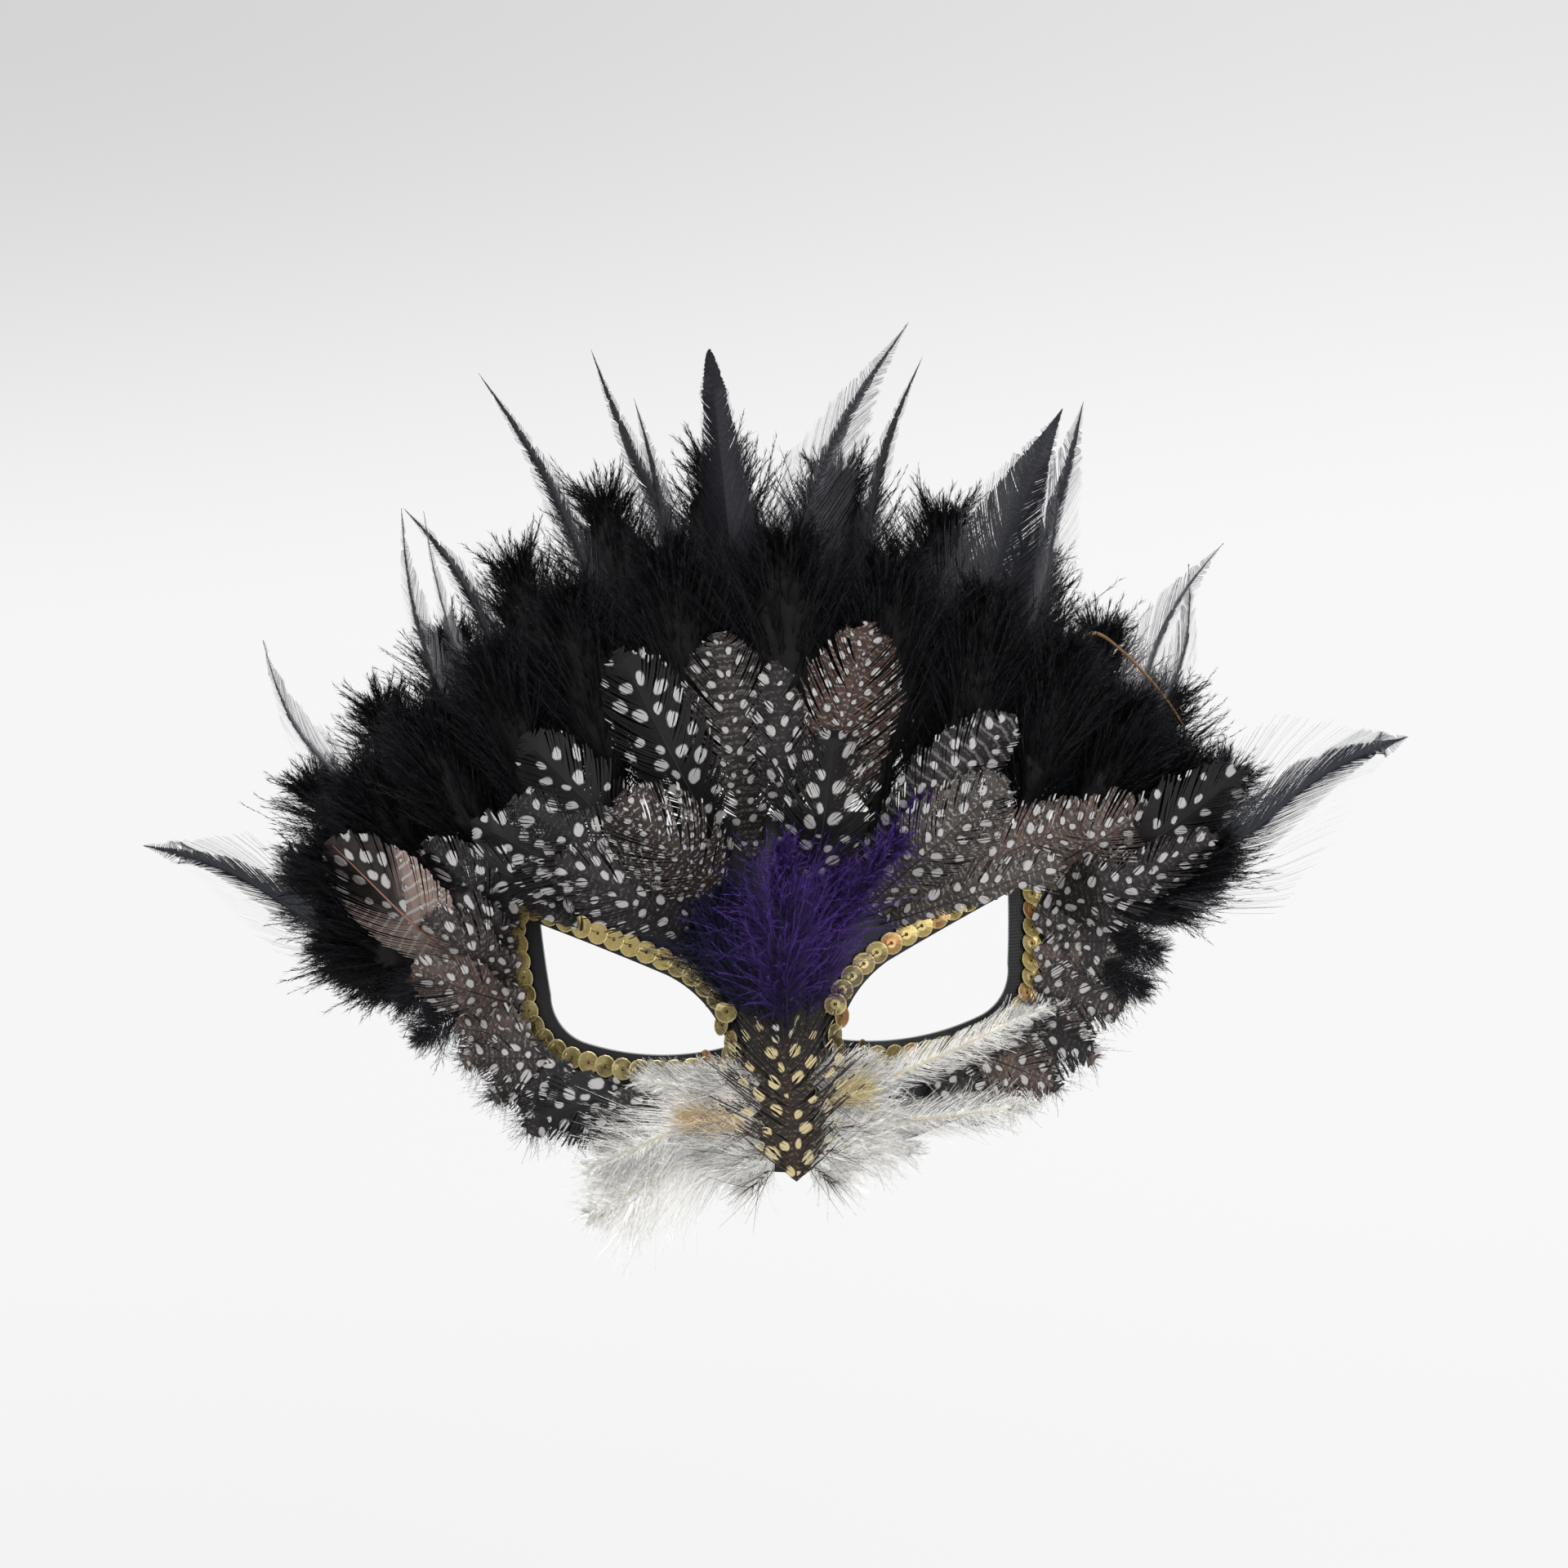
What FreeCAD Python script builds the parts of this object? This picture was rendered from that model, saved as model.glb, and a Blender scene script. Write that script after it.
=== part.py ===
import FreeCAD, Part
import os
from math import atan2, cos, hypot, pi, radians, sin, sqrt, tan

# A feathered half mask.  Millimetres, +Z up, the front faces -Y and the wearer
# is on the +Y side.  The origin is on the wearer's side of the nose bridge,
# midway between the eyes.

V = FreeCAD.Vector
os.makedirs("parts", exist_ok=True)

# ---------------------------------------------------------------- sizes
# Moulded base
half_width = 86.0  # centre line to the temple edge
temple_height = 8.0  # height of the widest point above the eye line
crown_height = 38.0  # eye line to the top edge
face_radius = 115.0  # bend round the face, seen from above
temple_taper = 3.9  # how far the edge draws in over the length of the temple
temple_length = 11.0
cheek_reach = 66.0
cheek_drop = 22.5
jaw_reach = 38.0
jaw_drop = 35.5
nose_drop = 42.0  # eye line to the lowest point, under the nose
nose_height = 19.0  # how far the nose stands out of the face at its tip
nose_flank = radians(38.0)  # each side of the nose against the middle plane
ridge_radius = 4.0  # rounding of the ridge

lining_thickness = 0.8
shell_thickness = 1.6
cover_thickness = 0.4
lining_margin = 1.2  # the lining stops short of the shell's edge

# Eye holes, the corners and lids given from the middle of the right eye
eye_spacing = 67.0  # middle to middle
eye_corner_in = (-21.0, -14.5)
eye_bridge = (-16.6, -5.0)
eye_lid_in = (-8.0, 2.7)
eye_lid = (6.5, 9.6)
eye_corner_out = (21.0, 16.0)
eye_side = (20.5, 8.0)
eye_side_low = (19.7, -0.6)
eye_turn = (17.3, -8.3)
eye_cheek = (12.0, -12.1)
eye_floor = (-5.0, -15.6)

# Binding round each eye, sequins and the thread that carries them
binding_thickness = 0.5
binding_width = 3.0
sequin_diameter = 5.0
sequin_thickness = 0.2
sequin_pitch = 3.9
sequin_sides = 8
sequin_tilt = 5.0  # degrees, so that each rests on the next
sequin_offset = 4.2  # eye edge to the middle of the sequins
sequin_bed = 0.05  # thread between the binding and the lowest edge of a sequin
thread_width = 0.6
thread_thickness = 0.35
thread_bed = 0.1  # the thread lies this far off the cover, over its curve

# Eyelets at the temples, for a ribbon or an elastic
eyelet_bore = 3.0
eyelet_wall = 0.5
eyelet_flange = 6.4
eyelet_flange_thickness = 0.3
eyelet_inset = 7.5  # temple edge to the middle of the eyelet
eyelet_height = 6.0

# Feathers
bond = 0.3  # bed of glue between two pieces
quill_inset = 3.0  # top edge of the base to the quill ends of the back row
sweep = 0.3  # how the feathers beyond the temples lean back
crown_lean = 0.1  # how those above the crown lean back
plume_count = 15
plume_first = 191.0  # degrees, round from the left cheek over the crown
plume_last = -5.0
fan_centre_height = 25.0
fan_half_width = 118.0
fan_height = 95.0
back_depth = 8.0  # half thickness of a back plume
front_depth = 7.0
front_share = 0.78  # length of the front row against the back row
slim = 0.2  # largest half width of a plume against its length
row_gap = 1.5  # room for the hackles on each side of the middle between the rows
front_step = 6.0  # the front row's quill ends lie this far inside the back row's
guinea_depth = 0.35
layer_step = 1.1  # from one layer of flat feathers to the next
guinea_stand = 14.5  # how far the tips of the fan stand in front of their quill ends
guinea_lie = 2.5  # the same for those that lie on the cheeks
drawn_width = 86.0  # the half width that the places of the flat feathers are given for

# ---------------------------------------------------------------- worked out
ridge_slope = atan2(nose_height, crown_height + nose_drop)
bridge = crown_height * tan(ridge_slope)  # the face lies this far behind the bridge
skin = lining_thickness + shell_thickness + cover_thickness  # front of the cover
eye_x = eye_spacing / 2
stretch = half_width / drawn_width
quill_forward = skin + bond + 0.6
quill_seat = skin + bond + 0.3  # quill ends of the flat feathers
guinea_forward = quill_forward + 1.1


# ---------------------------------------------------------------- helpers
def smooth(t):
    """An S curve from 0 to 1 for t from 0 to 1."""
    t = min(max(t, 0.0), 1.0)
    return t * t * (3.0 - 2.0 * t)


def down(z):
    """Share of the way from the crown to the tip of the nose."""
    return (crown_height - z) / (crown_height + nose_drop)


def bend(x):
    """Y of the curved face; past the temples it runs on straight."""
    side = min(abs(x), half_width)
    return bridge + face_radius - sqrt(face_radius**2 - side**2) + sweep * (abs(x) - side)


def nose(x, share):
    """Y of the nose: a rounded ridge, sloping forward, between two flat flanks."""
    edge = ridge_radius * cos(nose_flank)
    if abs(x) < edge:
        depth = ridge_radius - sqrt(ridge_radius**2 - x * x)
    else:
        depth = ridge_radius * (1.0 - sin(nose_flank)) + (abs(x) - edge) / tan(nose_flank)
    return bridge - nose_height * share + depth / cos(ridge_slope)


def face_depth(x, z):
    """Y of the wearer's side at (x, z).  Above the crown it leans back a little."""
    lean = crown_lean * max(z - crown_height, 0.0)
    return min(bend(x), nose(x, down(z))) + lean


def outward(x, z):
    """Unit normal of the face, towards the front."""
    share = down(z)
    if bend(x) <= nose(x, share):
        side = max(-half_width, min(half_width, x)) / face_radius
        return V(side, -sqrt(1.0 - side * side), 0)
    lean = max(-cos(nose_flank), min(cos(nose_flank), x / ridge_radius))
    ahead = sqrt(1.0 - lean * lean)
    return V(lean, -ahead * cos(ridge_slope), ahead * sin(ridge_slope))


def on_face(x, z, lift):
    """The point that stands lift off the wearer's side."""
    return V(x, face_depth(x, z), z) + outward(x, z) * lift


def in_front(x, z, stand):
    """The point straight in front of (x, z) that stands this far off the wearer's side."""
    return V(x, face_depth(x, z) + stand / outward(x, z).y, z)


def stand_of(point):
    """How far a point stands off the wearer's side."""
    y = face_depth(point.x, point.z)
    return (point.y - y) * outward(point.x, point.z).y


# ---------------------------------------------------------------- layers of the base
edge_spare = 8.0  # how far the surfaces run past the outline


def behind(lift):
    """The round of the face with the nose on it, everything that lies behind one layer's front."""
    height = crown_height + nose_drop + 2 * edge_spare
    foot_z = -nose_drop - edge_spare
    foot = V(0, bridge + face_radius, foot_z)
    face = Part.makeCylinder(face_radius + lift, height, foot)
    tip = V(0, nose(0, down(foot_z)), foot_z)
    back = V(0, cos(ridge_slope), -sin(ridge_slope))
    side = V(cos(nose_flank), 0, 0) * (ridge_radius + lift)
    edge = tip + back * (ridge_radius - (ridge_radius + lift) * sin(nose_flank))
    run_in = face_radius / 4
    wide = side + V(run_in * tan(nose_flank), 0, 0)
    deep = edge + back * run_in
    ridge = Part.Arc(edge - side, tip - back * lift, edge + side).toShape()
    flanks = Part.makePolygon([edge + side, deep + wide, deep - wide, edge - side])
    section = Part.Face(Part.Wire([ridge] + flanks.Edges))
    wedge = section.extrude(V(0, height * tan(ridge_slope), height))
    return face.fuse(wedge)


def prism(face):
    """A flat outline carried through the mask from front to back."""
    front = nose_height + 2 * edge_spare
    return face.translated(V(0, -front, 0)).extrude(V(0, front + face_radius, 0))


def at(x, z):
    return V(x, 0.0, z)


def flat(points):
    return Part.Face(Part.makePolygon(points + points[:1]))


def closed(faces):
    solid = Part.makeSolid(Part.makeShell(faces))
    return solid if solid.Volume > 0 else solid.reversed()


def skinned(rings, next_rings, caps):
    """Triangles from each three-sided ring to the next, and the caps of an open run."""
    faces = [flat(cap) for cap in caps]
    for here, there in zip(rings, next_rings):
        for k in range(3):
            after = (k + 1) % 3
            faces.append(flat([here[k], here[after], there[k]]))
            faces.append(flat([here[after], there[after], there[k]]))
    return closed(faces)


def base_face(inset=0.0):
    """Outline of the base, inset all round: an elliptic crown over a curve along cheeks and nose."""
    frame = FreeCAD.Placement(at(0, temple_height), FreeCAD.Rotation(V(1, 0, 0), 90))
    wide = half_width - inset
    arc = Part.Ellipse(V(0, 0, 0), wide, crown_height - temple_height - inset)
    upper = Part.ArcOfEllipse(arc, 0.0, pi).toShape()
    upper.Placement = frame
    right = [
        (wide, temple_height),
        (wide - temple_taper, temple_height - temple_length),
        (cheek_reach - 0.7 * inset, -cheek_drop + 0.7 * inset),
        (jaw_reach - 0.4 * inset, -jaw_drop + 0.9 * inset),
    ]
    points = [at(x, z) for x, z in right] + [at(0, -nose_drop + inset)]
    points += [at(-x, z) for x, z in reversed(right)]
    jaw = Part.BSplineCurve()
    jaw.interpolate(points, InitialTangent=V(0, 0, -1), FinalTangent=V(0, 0, 1))
    return Part.Face(Part.Wire([upper, jaw.toShape()]))


def eye_face(side, grow=0.0):
    """The cat-eye hole on one side, from five arcs, grown all round by grow."""
    upper = [eye_corner_in, eye_bridge, eye_lid_in, eye_lid, eye_corner_out]
    lower = [eye_side, eye_side_low, eye_turn, eye_cheek, eye_floor]
    p = [at(side * (eye_x + x), z) for x, z in upper + lower]
    ends = p[2::2] + p[:1]
    arcs = [Part.Arc(a, b, c).toShape() for a, b, c in zip(p[::2], p[1::2], ends)]
    face = Part.Face(Part.Wire(arcs))
    if grow > 0.0:
        face = face.makeOffset2D(grow)
    return face


def eyelet_seat(side):
    """Middle of the eyelet on the wearer's side, and the direction of its bore."""
    x = side * (half_width - eyelet_inset)
    return V(x, face_depth(x, eyelet_height), eyelet_height), outward(x, eyelet_height)


def eyelet_hole(side):
    seat, way = eyelet_seat(side)
    radius = eyelet_bore / 2 + eyelet_wall
    return Part.makeCylinder(radius, 4 * skin, seat - way * (2 * skin), way)


def layer(inner, outer, outline):
    """A layer of the base between two lifts, with its eye holes and eyelet holes."""
    sheet = prism(outline).common(outer).cut(inner)
    for side in (-1, 1):
        sheet = sheet.cut(prism(eye_face(side, binding_thickness)))
        sheet = sheet.cut(eyelet_hole(side))
    return sheet


# ---------------------------------------------------------------- feathers
# How the half width grows along a feather, as (share of the length, share of the width).
VANE = ((0, 0.05), (0.12, 0.1), (0.3, 0.66), (0.55, 1), (0.8, 0.86), (0.94, 0.5), (1, 0.12))
BLADE = ((0, 0.08), (0.1, 0.3), (0.25, 0.65), (0.45, 1), (0.65, 0.85), (0.85, 0.5), (1, 0.12))
PLUME = ((0, 0.06), (0.12, 0.1), (0.3, 0.5), (0.6, 1), (0.85, 0.82), (1, 0.26))
WISP = ((0, 0.06), (0.25, 0.7), (0.6, 1), (0.88, 0.7), (1, 0.15))


def feather(spine, profile, half_width_, half_depth, facing, sides=4):
    """Flat facets over similar sections, which all stand square to the line from end to end."""
    length_way = (spine[-1] - spine[0]).normalize()
    up = (facing - length_way * facing.dot(length_way)).normalize()
    across = length_way.cross(up)
    sections = []
    for (t, share), centre in zip(profile, spine):
        ring = []
        for k in range(sides):
            turn = 2.0 * pi * k / sides
            wide = across * (half_width_ * share * cos(turn))
            deep = up * (half_depth * share * sin(turn))
            ring.append(centre + wide + deep)
        sections.append(ring)
    faces = [flat(sections[0]), flat(sections[-1])]
    for low, high in zip(sections, sections[1:]):
        for k in range(sides):
            after = (k + 1) % sides
            faces.append(flat([low[k], low[after], high[after], high[k]]))
    return closed(faces)


def run(root, tip, profile, forward):
    """Spine points over the face from root to tip, each forward(t) in front of it."""
    points = []
    for t, share in profile:
        x = root[0] + (tip[0] - root[0]) * t
        z = root[1] + (tip[1] - root[1]) * t
        points.append(in_front(x, z, forward(t)))
    return points


def flat_feather(root, tip, width, low, high, profile=VANE, depth=guinea_depth):
    """A flat feather: its quill end is bedded on the cover, it lies low and its tip stands high."""

    def stand(t):
        return low + (high - low) * smooth(t / 0.6) if t > 0 else quill_seat

    spine = run(root, tip, profile, stand)
    middle = ((root[0] + tip[0]) / 2, (root[1] + tip[1]) / 2)
    return feather(spine, profile, width / 2, depth, outward(*middle))


def save(name, solids):
    """One STEP file for a node, of one solid or a group of separate ones."""
    if isinstance(solids, (list, tuple)):
        shape = solids[0] if len(solids) == 1 else Part.makeCompound(solids)
    else:
        shape = solids
    shape.exportStep("parts/" + name + ".step")
    count = len(shape.Solids)
    print(name, count, "solids", round(shape.Volume, 1), "mm3", shape.isValid())


# ---------------------------------------------------------------- the base
wearer_side = behind(0.0)
lining_front = behind(lining_thickness)
shell_front = behind(lining_thickness + shell_thickness)
cover_front = behind(skin)
binding_front = behind(skin + binding_thickness)

outline = base_face()
save("face_lining", layer(wearer_side, lining_front, base_face(lining_margin)))
save("mask_shell", layer(lining_front, shell_front, outline))
save("front_cover", layer(shell_front, cover_front, outline))

SIDES = (("left", -1), ("right", 1))


def binding(side):
    """Fabric that lines the edge of an eye hole and turns out flat on the cover."""
    hole = prism(eye_face(side))
    lip = prism(eye_face(side, binding_thickness)).cut(hole).common(cover_front).cut(wearer_side)
    brim = prism(eye_face(side, binding_thickness + binding_width)).cut(hole)
    return lip.fuse(brim.common(binding_front).cut(cover_front)).removeSplitter()


def sequin_places(side):
    """Centres along the line round the eye, evenly spaced, with the way round at each."""
    wire = eye_face(side, sequin_offset).OuterWire
    count = int(round(wire.Length / sequin_pitch))
    points = wire.discretize(Number=count + 1)[:-1]
    return [(p, points[(i + 1) % count] - points[i - 1]) for i, p in enumerate(points)]


def thread(side):
    """The thread that the sequins are strung on: one loop of flat facets round the eye."""
    rings = []
    for place, way in sequin_places(side):
        normal = outward(place.x, place.z)
        across = normal.cross(way).normalize() * (thread_width / 2)
        low = on_face(place.x, place.z, skin + thread_bed)
        rings.append([low - across, low + across, low + normal * thread_thickness])
    return skinned(rings, rings[1:] + rings[:1], [])


def sequins(side):
    """Flat round discs, each tilted so that it rests on the one before."""
    discs = []
    tilt = radians(sequin_tilt)
    rest = skin + binding_thickness + sequin_bed
    for place, way in sequin_places(side):
        normal = outward(place.x, place.z)
        along = (way - normal * way.dot(normal)).normalize()
        middle = on_face(place.x, place.z, rest)
        axis = normal * cos(tilt) - along * sin(tilt)
        ahead = normal.cross(along)
        across = axis.cross(ahead)
        rim = []
        for k in range(sequin_sides):
            turn = 2.0 * pi * k / sequin_sides
            rim.append(middle + (ahead * cos(turn) + across * sin(turn)) * (sequin_diameter / 2))
        lowest = min(stand_of(p) for p in rim)
        face = flat([p + normal * (rest - lowest) for p in rim])
        discs.append(face.extrude(axis * sequin_thickness))
    return discs


def eyelet(side):
    """A barrel with a flange on each side of the layers."""
    seat, way = eyelet_seat(side)
    low = seat - way * eyelet_flange_thickness
    height = skin + 2 * eyelet_flange_thickness
    outer = Part.makeCylinder(eyelet_bore / 2 + eyelet_wall, height, low, way)
    for base in (low, seat + way * skin):
        flange = Part.makeCylinder(eyelet_flange / 2, eyelet_flange_thickness, base, way)
        outer = outer.fuse(flange)
    bore = Part.makeCylinder(eyelet_bore / 2, height + 2.0, low - way, way)
    return outer.cut(bore).removeSplitter()


for name, side in SIDES:
    save("eye_binding_" + name, binding(side))
    save("sequin_trim_" + name, sequins(side))
    save("trim_thread_" + name, thread(side))
    save("eyelet_" + name, eyelet(side))


# ---------------------------------------------------------------- marabou plumes
# Reach of each back plume as a share of the fan's ellipse, from the left cheek over the crown.
reach = (0.9, 0.98, 0.98, 0.92, 0.88, 0.92, 0.98, 1.0, 0.97, 0.92, 0.91, 0.88, 0.91, 0.97, 0.9)


def fan_point(angle, share):
    turn = radians(angle)
    x = fan_half_width * share * cos(turn)
    return x, fan_centre_height + fan_height * share * sin(turn)


def rim_point(angle, inset):
    """A point of the crown's ellipse, inset from the edge of the base."""
    turn = radians(angle)
    x = (half_width - inset) * cos(turn)
    return x, temple_height + (crown_height - temple_height - inset) * sin(turn)


def between(a, b, t):
    return a[0] + (b[0] - a[0]) * t, a[1] + (b[1] - a[1]) * t


def row_lines(angles, shares, inset):
    """Root and tip of each plume in a row."""
    return [(rim_point(a, inset), fan_point(a, s)) for a, s in zip(angles, shares)]


def row_widths(lines):
    """Half width of each plume: half the way to its nearer neighbour, but never a ball."""
    middles = [between(root, tip, 0.6) for root, tip in lines]
    gaps = [hypot(b[0] - a[0], b[1] - a[1]) for a, b in zip(middles, middles[1:])]
    gaps = gaps[:1] + gaps + gaps[-1:]
    lengths = [hypot(tip[0] - root[0], tip[1] - root[1]) for root, tip in lines]
    return [min(a / 2 - bond, b / 2 - bond, slim * c) for a, b, c in zip(gaps, gaps[1:], lengths)]


def plume(root, tip, width, depth, start, settle):
    """A fluffy plume: its quill lies on the base, its body settles in front or behind."""

    def forward(t):
        return start + (settle - start) * smooth((t - 0.08) / 0.4)

    spine = run(root, tip, PLUME, forward)
    middle = between(root, tip, 0.5)
    return feather(spine, PLUME, width, depth, outward(*middle), sides=6)


turn_step = (plume_last - plume_first) / (plume_count - 1)
back_angles = [plume_first + turn_step * i for i in range(plume_count)]
front_angles = [a + turn_step / 2 for a in back_angles[:-1]]
back_lines = row_lines(back_angles, reach, quill_inset)
middle_reach = [(a + b) / 2 for a, b in zip(reach, reach[1:])]
front_lines = [
    (root, between(root, tip, front_share))
    for root, tip in row_lines(front_angles, middle_reach, quill_inset + front_step)
]

back_settle = skin - back_depth - row_gap
front_settle = skin + front_depth + row_gap
back_row = [
    plume(root, tip, w, back_depth, quill_forward, back_settle)
    for (root, tip), w in zip(back_lines, row_widths(back_lines))
]
front_row = [
    plume(root, tip, w, front_depth, quill_forward, front_settle)
    for (root, tip), w in zip(front_lines, row_widths(front_lines))
]
third = plume_count // 3
for k, name in enumerate(("left", "crown", "right")):
    save("marabou_back_" + name, back_row[k * third:(k + 1) * third])
    save("marabou_front_" + name, front_row[k * third:(k + 1) * third])

# ---------------------------------------------------------------- hackles
# Long thin feathers between the two rows: root angle on the crown, tip and width.
hackles = {
    "left_low": (190, (-149.5, 38.5), 9.0),
    "left_upright": (166, (-117.5, 84.5), 6.5),
    "left_grey": (146, (-81.8, 112.0), 5.0),
    "left_curved": (117, (-80.0, 112.5), 6.0),
    "left_pale": (135, (-76.0, 111.0), 4.0),
    "crown_left": (97, (-58.5, 140.5), 6.0),
    "crown_pair_long": (80, (-31.5, 143.0), 6.5),
    "crown_pair_short": (102, (-24.0, 131.0), 6.0),
    "crown_blunt": (91, (-6.0, 140.5), 10.0),
    "crown_clear": (108, (37.5, 144.5), 9.0),
    "crown_thin": (84, (41.5, 136.5), 5.5),
    "right_broad": (70, (74.0, 124.5), 13.0),
    "right_dark": (62, (80.0, 126.5), 8.0),
    "right_thin": (52, (73.0, 108.5), 5.0),
    "right_crossing": (33, (112.0, 92.0), 6.5),
    "right_upright": (15, (104.0, 87.5), 6.0),
    "right_low": (2, (153.5, 44.0), 13.0),
}
hackle_depth = 0.35
hackle_step = 1.0


def hackle(angle, tip, width, level):
    """A hackle in one of three levels, so that those that cross clear each other."""
    root = rim_point(angle, quill_inset + front_step / 2)
    start = quill_forward + hackle_step * level
    settle = skin + hackle_step * (level - 1)

    def forward(t):
        return start + (settle - start) * smooth((t - 0.05) / 0.25) if t > 0 else quill_seat

    spine = run(root, (tip[0] * stretch, tip[1]), BLADE, forward)
    return feather(spine, BLADE, width / 2, hackle_depth, outward(*root))


for k, (name, (angle, tip, width)) in enumerate(hackles.items()):
    save("hackle_" + name, hackle(angle, tip, width, k % 3))

# ---------------------------------------------------------------- guinea fowl feathers
# (root, tip, width, layer): layer 0 lies deepest.  A group is placed from the middle of
# the brow or from the middle of its eye, and its tips stand out by the last value.
guinea = {
    "guinea_forehead": (0.0, guinea_stand, (
        ((-9, 26), (-30, 75), 18, 1),
        ((-4, 26), (-8, 77), 19, 0),
        ((4, 26), (4, 70), 11, 2),
        ((9, 26), (25, 77), 20, 1),
        ((9, 18), (16, 54), 20, 3),
        ((18, 25), (56, 55), 15, 0),
        ((18, 13), (53, 41), 17, 1),
        ((-8, 17), (-32, 43), 20, 3),
        ((-25, 26), (-53, 58), 16, 0),
    )),
    "guinea_brow_left": (0.0, guinea_stand - 2.0, (
        ((-19, 17), (-56, 44), 15, 1),
        ((-14, 12), (-47, 30), 14, 2),
        ((-30, 19), (-66, 40), 13, 0),
        ((-46, 22), (-71, 33), 11, 0),
    )),
    "guinea_brow_right": (0.0, guinea_stand - 2.0, (
        ((21, 13), (73, 33), 13, 2),
        ((24, 11), (64, 22), 10, 3),
        ((23, 16), (54, 34), 11, 0),
    )),
    "guinea_temple_left": (-eye_x, guinea_stand, (
        ((-34, 1), (-67, 37), 22, 2),
        ((-25, 15), (-45, 36), 12, 1),
        ((-27, 9), (-40, 25), 11, 0),
        ((-27, 3), (-46, 19), 13, 1),
        ((-27, -3), (-50, 8), 12, 0),
    )),
    "guinea_cheek_left": (-eye_x, guinea_lie, (
        ((-26, -4), (-47, 5), 11, 0),
        ((-22, -11), (-42, -7), 12, 1),
        ((-20, -15), (-38, -14), 11, 2),
        ((-14, -18), (-33, -21), 13, 0),
        ((-3, -22), (-24, -29), 13, 1),
        ((6, -25), (-12, -33), 11, 2),
    )),
    "guinea_temple_right": (eye_x, guinea_stand, (
        ((27, 19), (54, 33), 15, 1),
        ((36, 14), (76, 39), 16, 2),
        ((38, 10), (69, 25), 11, 0),
        ((29, 13), (54, 17), 15, 0),
    )),
    "guinea_cheek_right": (eye_x, guinea_lie, (
        ((29, 4), (51, 2), 15, 1),
        ((28, -4), (47, -11), 15, 0),
        ((20, -13), (37, -22), 14, 1),
        ((9, -19), (27, -28), 13, 2),
        ((-2, -24), (15, -32), 11, 1),
        ((11, -21), (28, -10), 9, 3),
    )),
}
for name, (middle, stand, rows) in guinea.items():
    solids = []
    for root, tip, width, level in rows:
        low = guinea_forward + layer_step * level
        a = ((middle + root[0]) * stretch, root[1])
        b = ((middle + tip[0]) * stretch, tip[1])
        solids.append(flat_feather(a, b, width, low, low + stand))
    save(name, solids)

# ---------------------------------------------------------------- nose, brow and cheek feathers
nose_feathers = {
    "beak_feather": ((1, -44), (0, -3), 19, 1.2, 3.0, VANE),
    "purple_plume_centre": ((1, -12), (3, 31), 20, 8.4, 13.5, WISP),
    "purple_plume_right": ((5, -11), (16, 25), 15, 5.2, 9.5, WISP),
    "purple_plume_left": ((-4, -11), (-12, 24), 15, 5.2, 9.5, WISP),
    "purple_strand": ((13, 12), (35, 38), 6, 12.0, 15.0, BLADE),
    "navy_plume": ((-9, -8), (-20, 18), 12, 2.0, 6.0, WISP),
    "white_feather_left_low": ((-8, -32), (-47, -51), 22, 1.6, 6.0, WISP),
    "white_feather_left_mid": ((-10, -26), (-46, -40), 16, 3.0, 7.5, WISP),
    "white_feather_left_up": ((-10, -25), (-33, -21), 9, 1.8, 3.0, WISP),
    "white_feather_right_long": ((8, -29), (61, -10.5), 11, 5.6, 8.5, WISP),
    "white_feather_right_low": ((12, -34), (56, -33), 11, 4.2, 7.0, WISP),
    "white_feather_right_tuft": ((9, -35), (28, -41), 14, 1.6, 4.0, WISP),
}
for name, (root, tip, width, low, high, profile) in nose_feathers.items():
    soft = 1.4 if "plume" in name else guinea_depth
    save(name, flat_feather(root, tip, width, skin + low, skin + high, profile, soft))

# A bare tan quill: up between the two rows and bent over the right shoulder of the fan.
quill_path = ((66, 42), (69, 60), (73.5, 71.5), (79, 75), (86, 71), (92, 64.5), (97, 58), (101, 51.5))
quill_rise = 38.0  # where it leaves the crown, in degrees
quill_radius = 0.6


def tan_quill():
    """A thin three-sided rod, each ring square to the way between its neighbours."""
    root = rim_point(quill_rise, quill_inset + front_step / 2)
    points = [in_front(root[0], root[1], quill_seat + quill_radius / 2)]
    points += [in_front(x, z, skin + quill_radius) for x, z in quill_path]
    rings = []
    for before, here, after in zip(points[:1] + points, points, points[1:] + points[-1:]):
        way = (after - before).normalize()
        across = way.cross(V(0, -1, 0)).normalize()
        up = across.cross(way)
        corners = [radians(90 + 120 * k) for k in range(3)]
        rings.append([here + (across * cos(c) + up * sin(c)) * quill_radius for c in corners])
    return skinned(rings[:-1], rings[1:], [rings[0], rings[-1]])


save("tan_quill", tan_quill())
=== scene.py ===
from math import pi, radians

import bpy
import numpy as np
from bpy.props import FloatProperty, FloatVectorProperty, IntProperty, PointerProperty
from mathutils import Matrix, Vector
from mathutils.bvhtree import BVHTree


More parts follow.
